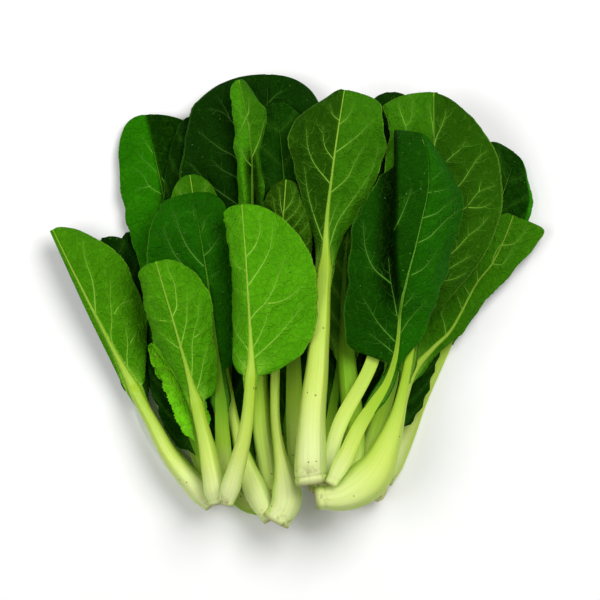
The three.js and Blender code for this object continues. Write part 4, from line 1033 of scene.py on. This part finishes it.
def new_material(name):
    material = bpy.data.materials.new(name)
    material.use_nodes = True
    tree = material.node_tree
    return material, NodeKit(tree), tree.nodes["Principled BSDF"].inputs


def shader_group(name, inputs):
    """A new node group with the named inputs, each with its first value, for colour, roughness and height."""
    group = bpy.data.node_groups.new(name, "ShaderNodeTree")
    for label, value in inputs.items():
        kind = "NodeSocketColor" if isinstance(value, tuple) else "NodeSocketFloat"
        group.interface.new_socket(label, in_out="INPUT", socket_type=kind).default_value = value
    for label, kind in (("Colour", "Color"), ("Roughness", "Float"), ("Height", "Float")):
        group.interface.new_socket(label, in_out="OUTPUT", socket_type="NodeSocket" + kind)
    given, result = group.nodes.new("NodeGroupInput").outputs, group.nodes.new("NodeGroupOutput").inputs
    return group, NodeKit(group), given, result


def leaf_skin_group():
    """Blade skin: side veins that fork, the net between them, mottling, painted light and shade from the tone
    mark, a pale midrib and a thin pale edge that is partly a painted highlight.
    """
    green = (0.1, 0.3, 0.02, 1)
    group, kit, given, result = shader_group("leaf_skin", {
        "Upper Colour": green, "Under Colour": green, "Deep Colour": green, "Vein Colour": green,
        "Vein Width": 0.5, "Vein Strength": 0.5, "Net Strength": 0.3, "Mottle": 0.4, "Roughness": 0.4,
        "Spots": 0.0, "Specks": 0.0,
    })
    place = kit.place()
    across = kit.calc("ABSOLUTE", kit.mark("across"))
    along, under = kit.mark("along"), kit.mark("under")
    from_vein = kit.calc("PINGPONG", kit.mark("vein_count"), 0.5)
    gap = kit.mark("vein_gap")
    vein_distance = kit.times(from_vein, gap)
    width = kit.times(given["Vein Width"], kit.ramp(across, 0, 1, 1.25, 0.4))
    vein = kit.ramp(kit.calc("DIVIDE", vein_distance, width), 1, 0.3)
    spread = kit.times(kit.calc("SUBTRACT", across, 0.4), 0.5)
    fork_distance = kit.times(kit.calc("ABSOLUTE", kit.calc("SUBTRACT", from_vein, spread)), gap)
    fork = kit.ramp(kit.calc("DIVIDE", fork_distance, width), 0.8, 0.2)
    fork = kit.times(fork, kit.ramp(across, 0.4, 0.46, 0, 0.7))
    halo = kit.ramp(vein_distance, 3.5, 0)
    wobble = kit.add("ShaderNodeTexNoise", {"Vector": place, "Scale": 300, "Detail": 1}).outputs["Color"]
    bent = kit.vector("ADD", [place, kit.vector("SCALE", {"Vector": wobble, "Scale": 0.0022})])
    nets = []
    for scale, thin in ((270, 0.13), (700, 0.12)):
        inputs = {"Vector": bent, "Scale": scale}
        cells = kit.add("ShaderNodeTexVoronoi", inputs, feature="DISTANCE_TO_EDGE")
        nets.append(kit.ramp(cells.outputs["Distance"], thin, 0))
    raised_net = kit.calc("MULTIPLY_ADD", nets[1], 0.3, nets[0], clamp=True)
    net = kit.times(raised_net, given["Net Strength"])
    broad = kit.noise(place, 38, 3, 0.6)
    fine = kit.noise(place, 330, 2, 0.6)
    mottle = kit.times(kit.ramp(broad, 0.32, 0.72), given["Mottle"])
    skin = kit.blend(under, given["Upper Colour"], given["Under Colour"])
    skin = kit.blend(mottle, skin, given["Deep Colour"])
    skin = kit.blend(kit.ramp(fine, 0.35, 0.75, 0, 0.16), skin, given["Deep Colour"])
    # The tone mark scales the colour: partly the leaf's own colour, partly painted light and shade
    skin = kit.vector("SCALE", {"Vector": skin, "Scale": kit.mark("tone")})
    skin = kit.blend(kit.times(halo, 0.16), skin, given["Vein Colour"])
    skin = kit.blend(net, skin, given["Vein Colour"])
    lines = kit.times(kit.calc("MAXIMUM", vein, fork), kit.ramp(across, 0.76, 0.92, 1, 0.2))
    lines = kit.times(lines, kit.mark("painted"))
    lines = kit.times(lines, given["Vein Strength"])
    rib = kit.ramp(kit.mark("rib_share"), 1.5, 0.75, 0, 0.9)
    foot = kit.times(kit.ramp(along, 0.16, 0, 0, 0.55), kit.ramp(across, 0.7, 0))
    # A thin pale edge: partly the paler margin, partly a painted highlight along the leaf's thin edge
    edge = kit.ramp(across, 0.965, 0.995, 0, 0.4)
    pale = kit.calc("MAXIMUM", kit.calc("MAXIMUM", lines, rib), kit.calc("MAXIMUM", foot, edge))
    skin = kit.blend(pale, skin, given["Vein Colour"])
    for scale, share, size, strength, tint in (
        (170, 0.09, 0.07, given["Spots"], (34, 52, 6)), (520, 0.05, 0.12, given["Specks"], (130, 176, 90)),
    ):
        dot = kit.times(kit.dots(place, scale, share, size), strength)
        skin = kit.blend(dot, skin, colour(*tint))
    rough = kit.calc("MULTIPLY_ADD", fine, 0.16, kit.calc("SUBTRACT", given["Roughness"], 0.08))
    relief = kit.calc("MAXIMUM", lines, kit.times(raised_net, 0.7))
    relief = kit.times(relief, kit.ramp(under, 0, 1, -1, 1))
    crinkle = kit.calc("MULTIPLY_ADD", kit.noise(bent, 210, 1), 1.5, relief)
    kit.fill(result, [
        skin, kit.calc("MULTIPLY_ADD", lines, 0.08, rough), kit.calc("MULTIPLY_ADD", fine, 0.6, crinkle),
    ])
    return group


def stalk_skin_group():
    """Stalk skin: white at the base, greener up the leaf, lengthwise streaks, green edges that are partly
    painted shade, soil at the foot.
    """
    pale = (0.7, 0.8, 0.4, 1)
    group, kit, given, result = shader_group("stalk_skin", {
        "Base Colour": pale, "Middle Colour": pale, "Neck Colour": pale, "Rib Colour": pale,
        "Soil Colour": (0.1, 0.06, 0.02, 1), "Streaks": 0.5, "Soil": 0.5, "Roughness": 0.35,
    })
    place = kit.place()
    up, blade = kit.mark("stalk_along"), kit.mark("along")
    around, seed = kit.mark("around"), kit.mark("seed")
    skin = kit.blend(kit.ramp(up, 0.08, 0.5), given["Base Colour"], given["Middle Colour"])
    skin = kit.blend(kit.ramp(up, 0.35, 1), skin, given["Neck Colour"])
    skin = kit.blend(kit.ramp(blade, 0, 0.45), skin, given["Rib Colour"])
    run = kit.calc("ADD", kit.times(up, 1.6), kit.times(blade, 2))
    grains = []
    for lanes, apart in ((6, 40), (26, 90)):
        inputs = [kit.times(around, lanes), run, kit.times(seed, apart)]
        grains.append(kit.noise(kit.add("ShaderNodeCombineXYZ", inputs).outputs[0], 1))
    wide, narrow = grains
    streak = kit.times(kit.ramp(wide, 0.42, 0.75), given["Streaks"])
    skin = kit.blend(streak, skin, given["Neck Colour"])
    fine_streak = kit.times(kit.ramp(narrow, 0.45, 0.8), kit.times(given["Streaks"], 0.7))
    skin = kit.blend(fine_streak, skin, given["Rib Colour"])
    # Greener towards the edges: partly the stalk's own colour, partly painted shade where its round sides turn
    # away
    edge = kit.ramp(kit.calc("ABSOLUTE", around), 0.45, 1, 0, 0.55)
    skin = kit.blend(edge, skin, given["Neck Colour"])
    speck = kit.dots(place, 240, kit.ramp(up, 0, 0.3, 0.45, 0.07), 0.1)
    smear = kit.times(kit.ramp(kit.noise(place, 160, 4, 0.7), 0.5, 0.72), kit.ramp(up, 0.12, 0.01))
    foot = kit.ramp(up, 0.035, 0.0, 0, 0.8)
    soil = kit.calc("MAXIMUM", kit.calc("MAXIMUM", speck, smear), foot)
    patches = kit.ramp(kit.noise(place, 90, 2), 0.35, 0.65, 0.1, 0.5)
    soil = kit.calc("MAXIMUM", soil, kit.times(kit.mark("joint"), patches))
    soil = kit.times(soil, given["Soil"])
    skin = kit.blend(soil, skin, given["Soil Colour"])
    rough = kit.calc("MULTIPLY_ADD", narrow, 0.2, kit.calc("SUBTRACT", given["Roughness"], 0.1))
    kit.fill(result, [
        skin, kit.calc("MULTIPLY_ADD", soil, 0.4, rough), kit.calc("MULTIPLY_ADD", wide, 0.6, narrow),
    ])
    return group


def skin_material(name, group, values, relief, more):
    """A material whose Principled shader takes colour, roughness and relief from a skin group."""
    material, kit, shader = new_material(name)
    skin = kit.add("ShaderNodeGroup", values, node_tree=group).outputs
    kit.fill(shader, {
        "Base Color": skin["Colour"], "Roughness": skin["Roughness"],
        "Normal": kit.bump(skin["Height"], relief), **more,
    })
    return material


def vein_material(name, near_rib, far):
    """Raised side veins: paler where they leave the midrib, greener towards the edge."""
    material, kit, shader = new_material(name)
    fading = kit.ramp(kit.mark("fade"), 0, 1.2)
    grain = kit.noise(kit.place(), 260)
    skin = kit.blend(fading, colour(*near_rib), colour(*far))
    skin = kit.blend(kit.ramp(grain, 0.35, 0.75, 0, 0.35), skin, colour(*far))
    kit.fill(shader, {
        "Base Color": skin, "Roughness": kit.ramp(grain, 0.3, 0.7, 0.5, 0.65), "Specular IOR Level": 0.1,
    })
    return material


BLADE_SKIN_VALUES = ("Vein Width", "Vein Strength", "Net Strength", "Roughness", "Spots", "Specks")
# Blade skins. Colours of the upper and the under face, of deeper patches and of painted veins, then of raised
# veins near the midrib and far from it; width and strength of painted veins, strength of the net, roughness,
# dark spots, pale specks and shine
BLADE_SKINS = {
    "bright_back": ((34, 92, 2), (76, 151, 9), (50, 119, 3), (138, 194, 54), (140, 194, 58), (88, 156, 18),
                    0.3, 0.35, 0.06, 0.6, 0.7, 0, 0.05),
    "olive_back": ((24, 80, 2), (56, 119, 8), (34, 85, 2), (122, 176, 50), (122, 174, 50), (64, 124, 14),
                   0.3, 0.35, 0.06, 0.6, 0.7, 0, 0.05),
    "fresh_upper": ((36, 112, 2), (70, 130, 8), (14, 70, 0), (84, 150, 28), (96, 166, 42), (46, 122, 14),
                    0.3, 0.35, 0.06, 0.5, 0, 0, 0.05),
    "dark_upper": ((24, 88, 2), (70, 130, 8), (10, 54, 0), (88, 146, 38), (84, 144, 40), (36, 96, 14),
                   0.28, 0.4, 0.05, 0.5, 0, 0.5, 0.06),
    # A darker copy of the upper skin, with painted shade, for upper faces that lie under other leaves
    "deep_upper": ((16, 60, 2), (60, 116, 8), (6, 34, 0), (60, 114, 26), (62, 112, 28), (24, 68, 8),
                   0.28, 0.35, 0.05, 0.46, 0, 0.4, 0.08),
    "young": ((80, 148, 8), (84, 156, 10), (30, 94, 2), (132, 190, 48), (110, 168, 44), (58, 118, 20),
              0.32, 0.45, 0.08, 0.55, 0, 0, 0.05),
}
# Stalk skins. Colours at the base, in the middle, at the neck and of the midrib; then streaks, soil, roughness,
# shine and coat
STALK_SKINS = {
    "pale_stalk": ((224, 234, 162), (205, 224, 104), (168, 204, 48), (136, 186, 40), 0.2, 0.7, 0.42, 0.3, 0.1),
    "dark_ribbed_stalk": (
        (218, 230, 150), (202, 222, 100), (160, 198, 42), (78, 142, 34), 0.2, 0.7, 0.42, 0.12, 0.02),
    # Painted shade: a greener, darker copy of the pale stalk, for stalks that lie in the shade of other leaves
    "green_stalk": ((206, 224, 120), (164, 200, 56), (116, 170, 28), (74, 134, 20), 0.25, 0.6, 0.5, 0.08, 0.0),
}
GREEN_SHEEN = (150, 255, 90)
SOIL_BROWN = (84, 58, 24)
# How high the relief of a skin stands, in metres
BLADE_RELIEF, STALK_RELIEF = 0.0006, 0.0002
# Light goes a little way into a stalk
STALK_FLESH = {
    "Subsurface Weight": 0.35, "Subsurface Radius": (0.7, 1.0, 0.25), "Subsurface Scale": 0.004,
    "Coat Roughness": 0.3,
}

leaf_skin = leaf_skin_group()
stalk_skin = stalk_skin_group()
materials, vein_finish = {}, {}
for name, (upper, under, deep, vein, near_rib, far, *values, shine) in BLADE_SKINS.items():
    values = dict(zip(BLADE_SKIN_VALUES, values))
    for label, tint in (("Upper", upper), ("Under", under), ("Deep", deep), ("Vein", vein)):
        values[label + " Colour"] = colour(*tint)
    sheen = {"Specular IOR Level": shine, "Specular Tint": colour(*GREEN_SHEEN)}
    materials[name] = skin_material(name, leaf_skin, values, BLADE_RELIEF, sheen)
    vein_finish[name] = vein_material(name + "_vein", near_rib, far)
for name, (base, middle, neck, rib, streaks, soil, rough, shine, coat) in STALK_SKINS.items():
    values = {"Streaks": streaks, "Soil": soil, "Roughness": rough}
    for label, tint in (("Base", base), ("Middle", middle), ("Neck", neck), ("Rib", rib), ("Soil", SOIL_BROWN)):
        values[label + " Colour"] = colour(*tint)
    sheen = {"Specular IOR Level": shine, "Coat Weight": coat, **STALK_FLESH}
    materials[name] = skin_material(name, stalk_skin, values, STALK_RELIEF, sheen)


def cut_end_material():
    """The stem's cut end: tan and drying at the rim, whiter inside, with soil left in its hollows."""
    material, kit, shader = new_material("crown_flesh")
    place = kit.place()
    flesh = kit.blend(kit.ramp(kit.mark("depth"), 0, 0.35), colour(196, 186, 112), colour(212, 222, 132))
    patches = kit.ramp(kit.noise(place, 210, 4, 0.7), 0.42, 0.66)
    flesh = kit.blend(kit.times(patches, 0.4), flesh, colour(158, 142, 62))
    soil = kit.ramp(kit.noise(place, 520, 3, 0.6), 0.56, 0.7)
    flesh = kit.blend(kit.times(soil, 0.7), flesh, colour(74, 52, 26))
    kit.fill(shader, {
        "Base Color": flesh, "Roughness": kit.ramp(patches, 0, 1, 0.6, 0.85),
        "Normal": kit.bump(patches, 0.0005),
    })
    return material


# ---- raised side veins, by Geometry Nodes: tubes along paths, as thick as their points say

def vein_tube_tree():
    tree = bpy.data.node_groups.new("vein_tubes", "GeometryNodeTree")
    tree.interface.new_socket("Vein Paths", in_out="INPUT", socket_type="NodeSocketGeometry")
    sizes = {}
    for label, kind, value in (
        ("Thickness", "NodeSocketFloat", 1.0), ("Sides", "NodeSocketInt", TUBE_SIDES),
        ("Vein Finish", "NodeSocketMaterial", None),
    ):
        socket = tree.interface.new_socket(label, in_out="INPUT", socket_type=kind)
        if value is not None:
            socket.default_value = value
        sizes[label] = socket.identifier
    tree.interface.new_socket("Tubes", in_out="OUTPUT", socket_type="NodeSocketGeometry")
    given, result = tree.nodes.new("NodeGroupInput").outputs, tree.nodes.new("NodeGroupOutput").inputs
    kit = NodeKit(tree)
    lines = kit.add("GeometryNodeMeshToCurve", [given["Vein Paths"]])
    width = kit.add("GeometryNodeInputNamedAttribute", ["vein_radius"], data_type="FLOAT")
    radius = kit.times(width.outputs[0], given["Thickness"])
    section = kit.add("GeometryNodeCurvePrimitiveCircle", {"Resolution": given["Sides"], "Radius": 1.0})
    tube = kit.add("GeometryNodeCurveToMesh", {
        "Curve": lines.outputs[0], "Profile Curve": section.outputs[0], "Scale": radius, "Fill Caps": True,
    })
    smooth = kit.add("GeometryNodeSetShadeSmooth", [tube.outputs[0]])
    real = kit.add("GeometryNodeRealizeInstances", [smooth.outputs[0]])
    coat = kit.add("GeometryNodeSetMaterial", {"Geometry": real.outputs[0], "Material": given["Vein Finish"]})
    tree.links.new(coat.outputs[0], result["Tubes"])
    return tree, sizes


def baked(source, name):
    """The plain mesh that an object's modifiers make, as a new object, with the source removed."""
    ready = source.evaluated_get(bpy.context.evaluated_depsgraph_get())
    mesh = bpy.data.meshes.new_from_object(ready)
    source.modifiers.clear()
    bpy.data.objects.remove(source)
    mesh.name = name
    return add_object(name, mesh)


def laid_on(form, face_up, points):
    """Lays a line seen from above on the blade's visible face, up to where it leaves the blade."""
    grid, normal, across = form[:3]
    facing = (normal * np.where(normal[..., 2:3] < 0, -1, 1)).reshape(-1, 3)
    face = grid.reshape(-1, 3) + facing * (BLADE_THICKNESS / 2 - VEIN_SINK[face_up])
    gaps = np.linalg.norm(points[:, None] - face[None, :, :2], axis=-1) + 2 * (facing[:, 2] < STEEP_FACE)
    near = np.argsort(gaps, 1)[:, :4]
    weight = 1 / (np.take_along_axis(gaps, near, 1) ** 2 + 0.05)
    high = (face[near, 2] * weight).sum(1) / weight.sum(1)
    off = (gaps.min(1) > OFF_BLADE) | (np.abs(across).ravel()[near[:, 0]] > VEIN_REACH)
    first = int(np.argmin(off))
    last = first + int(np.argmax(np.append(off[first:], True)))
    return np.column_stack([points, smooth_along(high, 1)])[first:last]


def vein_paths(leaf, look, form):
    """Paths of the side veins on the blade with the radius and the share of the way out at each point."""
    grid, normal, across, count, traced, twigs = form
    if traced:
        lines = []
        for thin, points in [*[(False, line) for line in traced], *[(True, twig) for twig in twigs]]:
            line = laid_on(form, leaf.face, points)
            if len(line) > 2:
                share = np.linspace(0, 1, len(line))
                strong = 0.42 if thin else min(len(line) * VEIN_STEP / LONG_VEIN, 1) * 0.45 + 0.55
                fade = mix(0.75, 1.3, share) if thin else share
                radius = strong * mix(*TRACED_RADIUS, share**VEIN_TAPER)
                lines.append(np.column_stack([line, radius, fade]))
        return lines
    draw = np.random.default_rng(500 + 10 * leaf.number + ord(leaf.head))
    rows, columns = across.shape
    middle = columns // 2
    up = np.where(normal[..., 2:3] < 0, -1, 1)
    face = grid + normal * up * (BLADE_THICKNESS / 2 - VEIN_SINK[leaf.face])
    lines = []
    for side in (-1, 1):
        reach = range(middle + side, columns - 1 if side > 0 else 0, side)
        for number in range(0, look.veins + 1):
            far = draw.uniform(0.78, 0.92)
            strong = draw.uniform(0.85, 1.15) * (1 - 0.5 * number / (look.veins + 1))
            line = []
            for column in reach:
                out = abs(float(across[rows // 2, column]))
                place = np.interp(number, count[:, column], np.arange(rows))
                if out > far or not 1 <= place <= rows - 3:
                    continue
                low = int(place)
                spot = mix(face[low, column], face[low + 1, column], place - low)
                line.append((*spot, strong * mix(*RULED_RADIUS, (out / far) ** VEIN_TAPER), out))
            if len(line) > 3:
                lines.append(np.array(line))
    return lines


def build_veins(leaf, look, form, name, finish):
    lines = vein_paths(leaf, look, form)
    points = np.concatenate(lines)
    edges, first = [], 0
    for line in lines:
        edges += [(first + i, first + i + 1) for i in range(len(line) - 1)]
        first += len(line)
    mesh = bpy.data.meshes.new(name + "_paths")
    mesh.from_pydata((points[:, :3] * MM).tolist(), edges, [])
    set_marks(mesh, {"vein_radius": points[:, 3] * MM, "fade": points[:, 4]})
    source = add_object(name + "_paths", mesh)
    tubes = source.modifiers.new("tubes", "NODES")
    tubes.node_group = vein_tree
    tubes[vein_sizes["Thickness"]] = 1.0
    tubes[vein_sizes["Sides"]] = TUBE_SIDES
    tubes[vein_sizes["Vein Finish"]] = finish
    return baked(source, name)


# ---- the crowns

# From the cut end's middle round its rim and inwards: how far along and how wide, by the crown's radius
CROWN_OUTLINE = [
    (0.28, 0.0), (0.05, 0.3), (0, 0.66), (0.08, 0.72), (0.3, 0.93),
    (0.9, 1), (1.7, 0.74), (2.3, 0.42), (2.55, 0.1),
]
CROWN_SIDES, CROWN_RINGS = 40, 33
# How wide a crown is by its solid, and by what share its cross-section is uneven
CROWN_WIDTH = 0.98
CROWN_WOBBLE = 0.03


def build_crown(head, base, aim, radius):
    """A short round stem that tapers into the bunch, with a slightly hollow, uneven cut end."""
    low_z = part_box("head_" + head + "_crown")[0][2] / MM
    sides = CROWN_SIDES
    turn = np.arange(sides) * 2 * math.pi / sides
    ahead = np.array([math.cos(math.radians(aim)), math.sin(math.radians(aim)), 0])
    side = np.array([ahead[1], -ahead[0], 0])
    centre = np.array([*(np.array(base) - BUNCH_MIDDLE), low_z + radius])
    spots = np.linspace(0, len(CROWN_OUTLINE) - 1, CROWN_RINGS)
    places, widths = (np.interp(spots, range(len(CROWN_OUTLINE)), column) for column in zip(*CROWN_OUTLINE))
    wobble = 1 + CROWN_WOBBLE * ripple(np.cos(turn) * 10, np.sin(turn) * 10, 9, ord(head))
    rings = []
    for place, width in zip(places, widths):
        round_part = np.outer(np.cos(turn), side) + np.outer(np.sin(turn), [0, 0, 1])
        reach = (width * radius * CROWN_WIDTH * wobble)[:, None]
        rings.append(centre + ahead * place * radius + round_part * reach)
    rings = np.array(rings)
    points = np.concatenate([rings[1:].reshape(-1, 3), [rings[0].mean(0), rings[-1].mean(0) + ahead * 0.1]])
    size = len(points) - 2
    faces = grid_faces(len(rings) - 1, sides, around=True)
    faces += [(size, (j + 1) % sides, j) for j in range(sides)]
    faces += [(size + 1, size - sides + j, size - sides + (j + 1) % sides) for j in range(sides)]
    depth = np.append(np.repeat(places[1:], sides), [0, 2.6])
    points[:, 2] = np.maximum(points[:, 2], FLOOR_CLEARANCE)
    piece = mesh_object("crown_" + head, points, faces, {"depth": depth}, crown_flesh)
    add_to_heights(rings[1:])
    return piece


# ---- the bunch, from the lowest leaf to the highest

crown_flesh = cut_end_material()
vein_tree, vein_sizes = vein_tube_tree()


def hand_over(piece, slot, node=None):
    """Puts a piece on the one body, in the place of its node if it has one."""
    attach(piece, "root")
    if node:
        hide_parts(node)


for order, leaf in enumerate(LEAVES):
    if order == CROWN_AFTER_LEAF:
        for crown in CROWNS:
            hand_over(build_crown(*crown), "crown", f"head_{crown[0]}_crown")
    name = f"head_{leaf.head}_leaf_{leaf.number}"
    look = LOOKS.get(leaf.key, Look())
    spine = Spine(leaf.path)
    lift_of = fitted_lift(leaf, look, spine, name)
    if leaf.key in SEEN_PATHS:
        spine = Spine(SEEN_PATHS[leaf.key])
    blade, form = build_blade(leaf, look, spine, "blade_" + name, lift_of)
    stalk = build_stalk(leaf, look, spine, "stalk_" + name, lift_of)
    if leaf.key in VEINS or (leaf.face == "back" and look.seen != "far"):
        hand_over(build_veins(leaf, look, form, "veins_" + name, vein_finish[look.skin]), "leaf")
    hand_over(blade, "young_leaf" if leaf.key in YOUNG_LEAVES else "leaf", name + "_blade")
    hand_over(stalk, "stalk", name + "_stalk")


# ---- floor, camera and light

# Camera and lights, in metres and watts
CAMERA_HEIGHT = 2.2
CAMERA_LENS = 236.7
LAMPS = [
    ("key", (0.5, 0.6, 1.4), 0.9, 19),
    ("fill", (-0.75, 0.0, 1.35), 0.9, 8.5),
]
ROOM_LIGHT = 0.27


def studio():
    floor_mesh = bpy.data.meshes.new("floor")
    floor_mesh.from_pydata([(-4, -4, 0), (4, -4, 0), (4, 4, 0), (-4, 4, 0)], [], [(0, 1, 2, 3)])
    floor = add_object("floor", floor_mesh)
    paper, kit, shader = new_material("white_paper")
    tone = kit.blend(kit.noise(kit.place(), 30), colour(250, 250, 250), colour(244, 244, 243))
    kit.fill(shader, {"Base Color": tone, "Roughness": 0.9})
    floor.data.materials.append(paper)

    lens = bpy.data.cameras.new("camera")
    lens.sensor_width = 36
    lens.lens = CAMERA_LENS
    lens.clip_end = 20
    camera = add_object("camera", lens)
    camera.location = (0, 0, CAMERA_HEIGHT)
    bpy.context.scene.camera = camera

    for name, place, size, power in LAMPS:
        lamp = bpy.data.lights.new(name, "AREA")
        lamp.shape = "DISK"
        lamp.size = size
        lamp.energy = power
        holder = add_object(name, lamp)
        holder.location = place
        holder.rotation_euler = (-mathutils.Vector(place)).to_track_quat("-Z", "Y").to_euler()

    world = bpy.data.worlds.new("room")
    world.use_nodes = True
    background = world.node_tree.nodes["Background"].inputs
    background["Color"].default_value = (1, 1, 1, 1)
    background["Strength"].default_value = ROOM_LIGHT
    bpy.context.scene.world = world
    bpy.context.scene.view_settings.view_transform = "Standard"


studio()
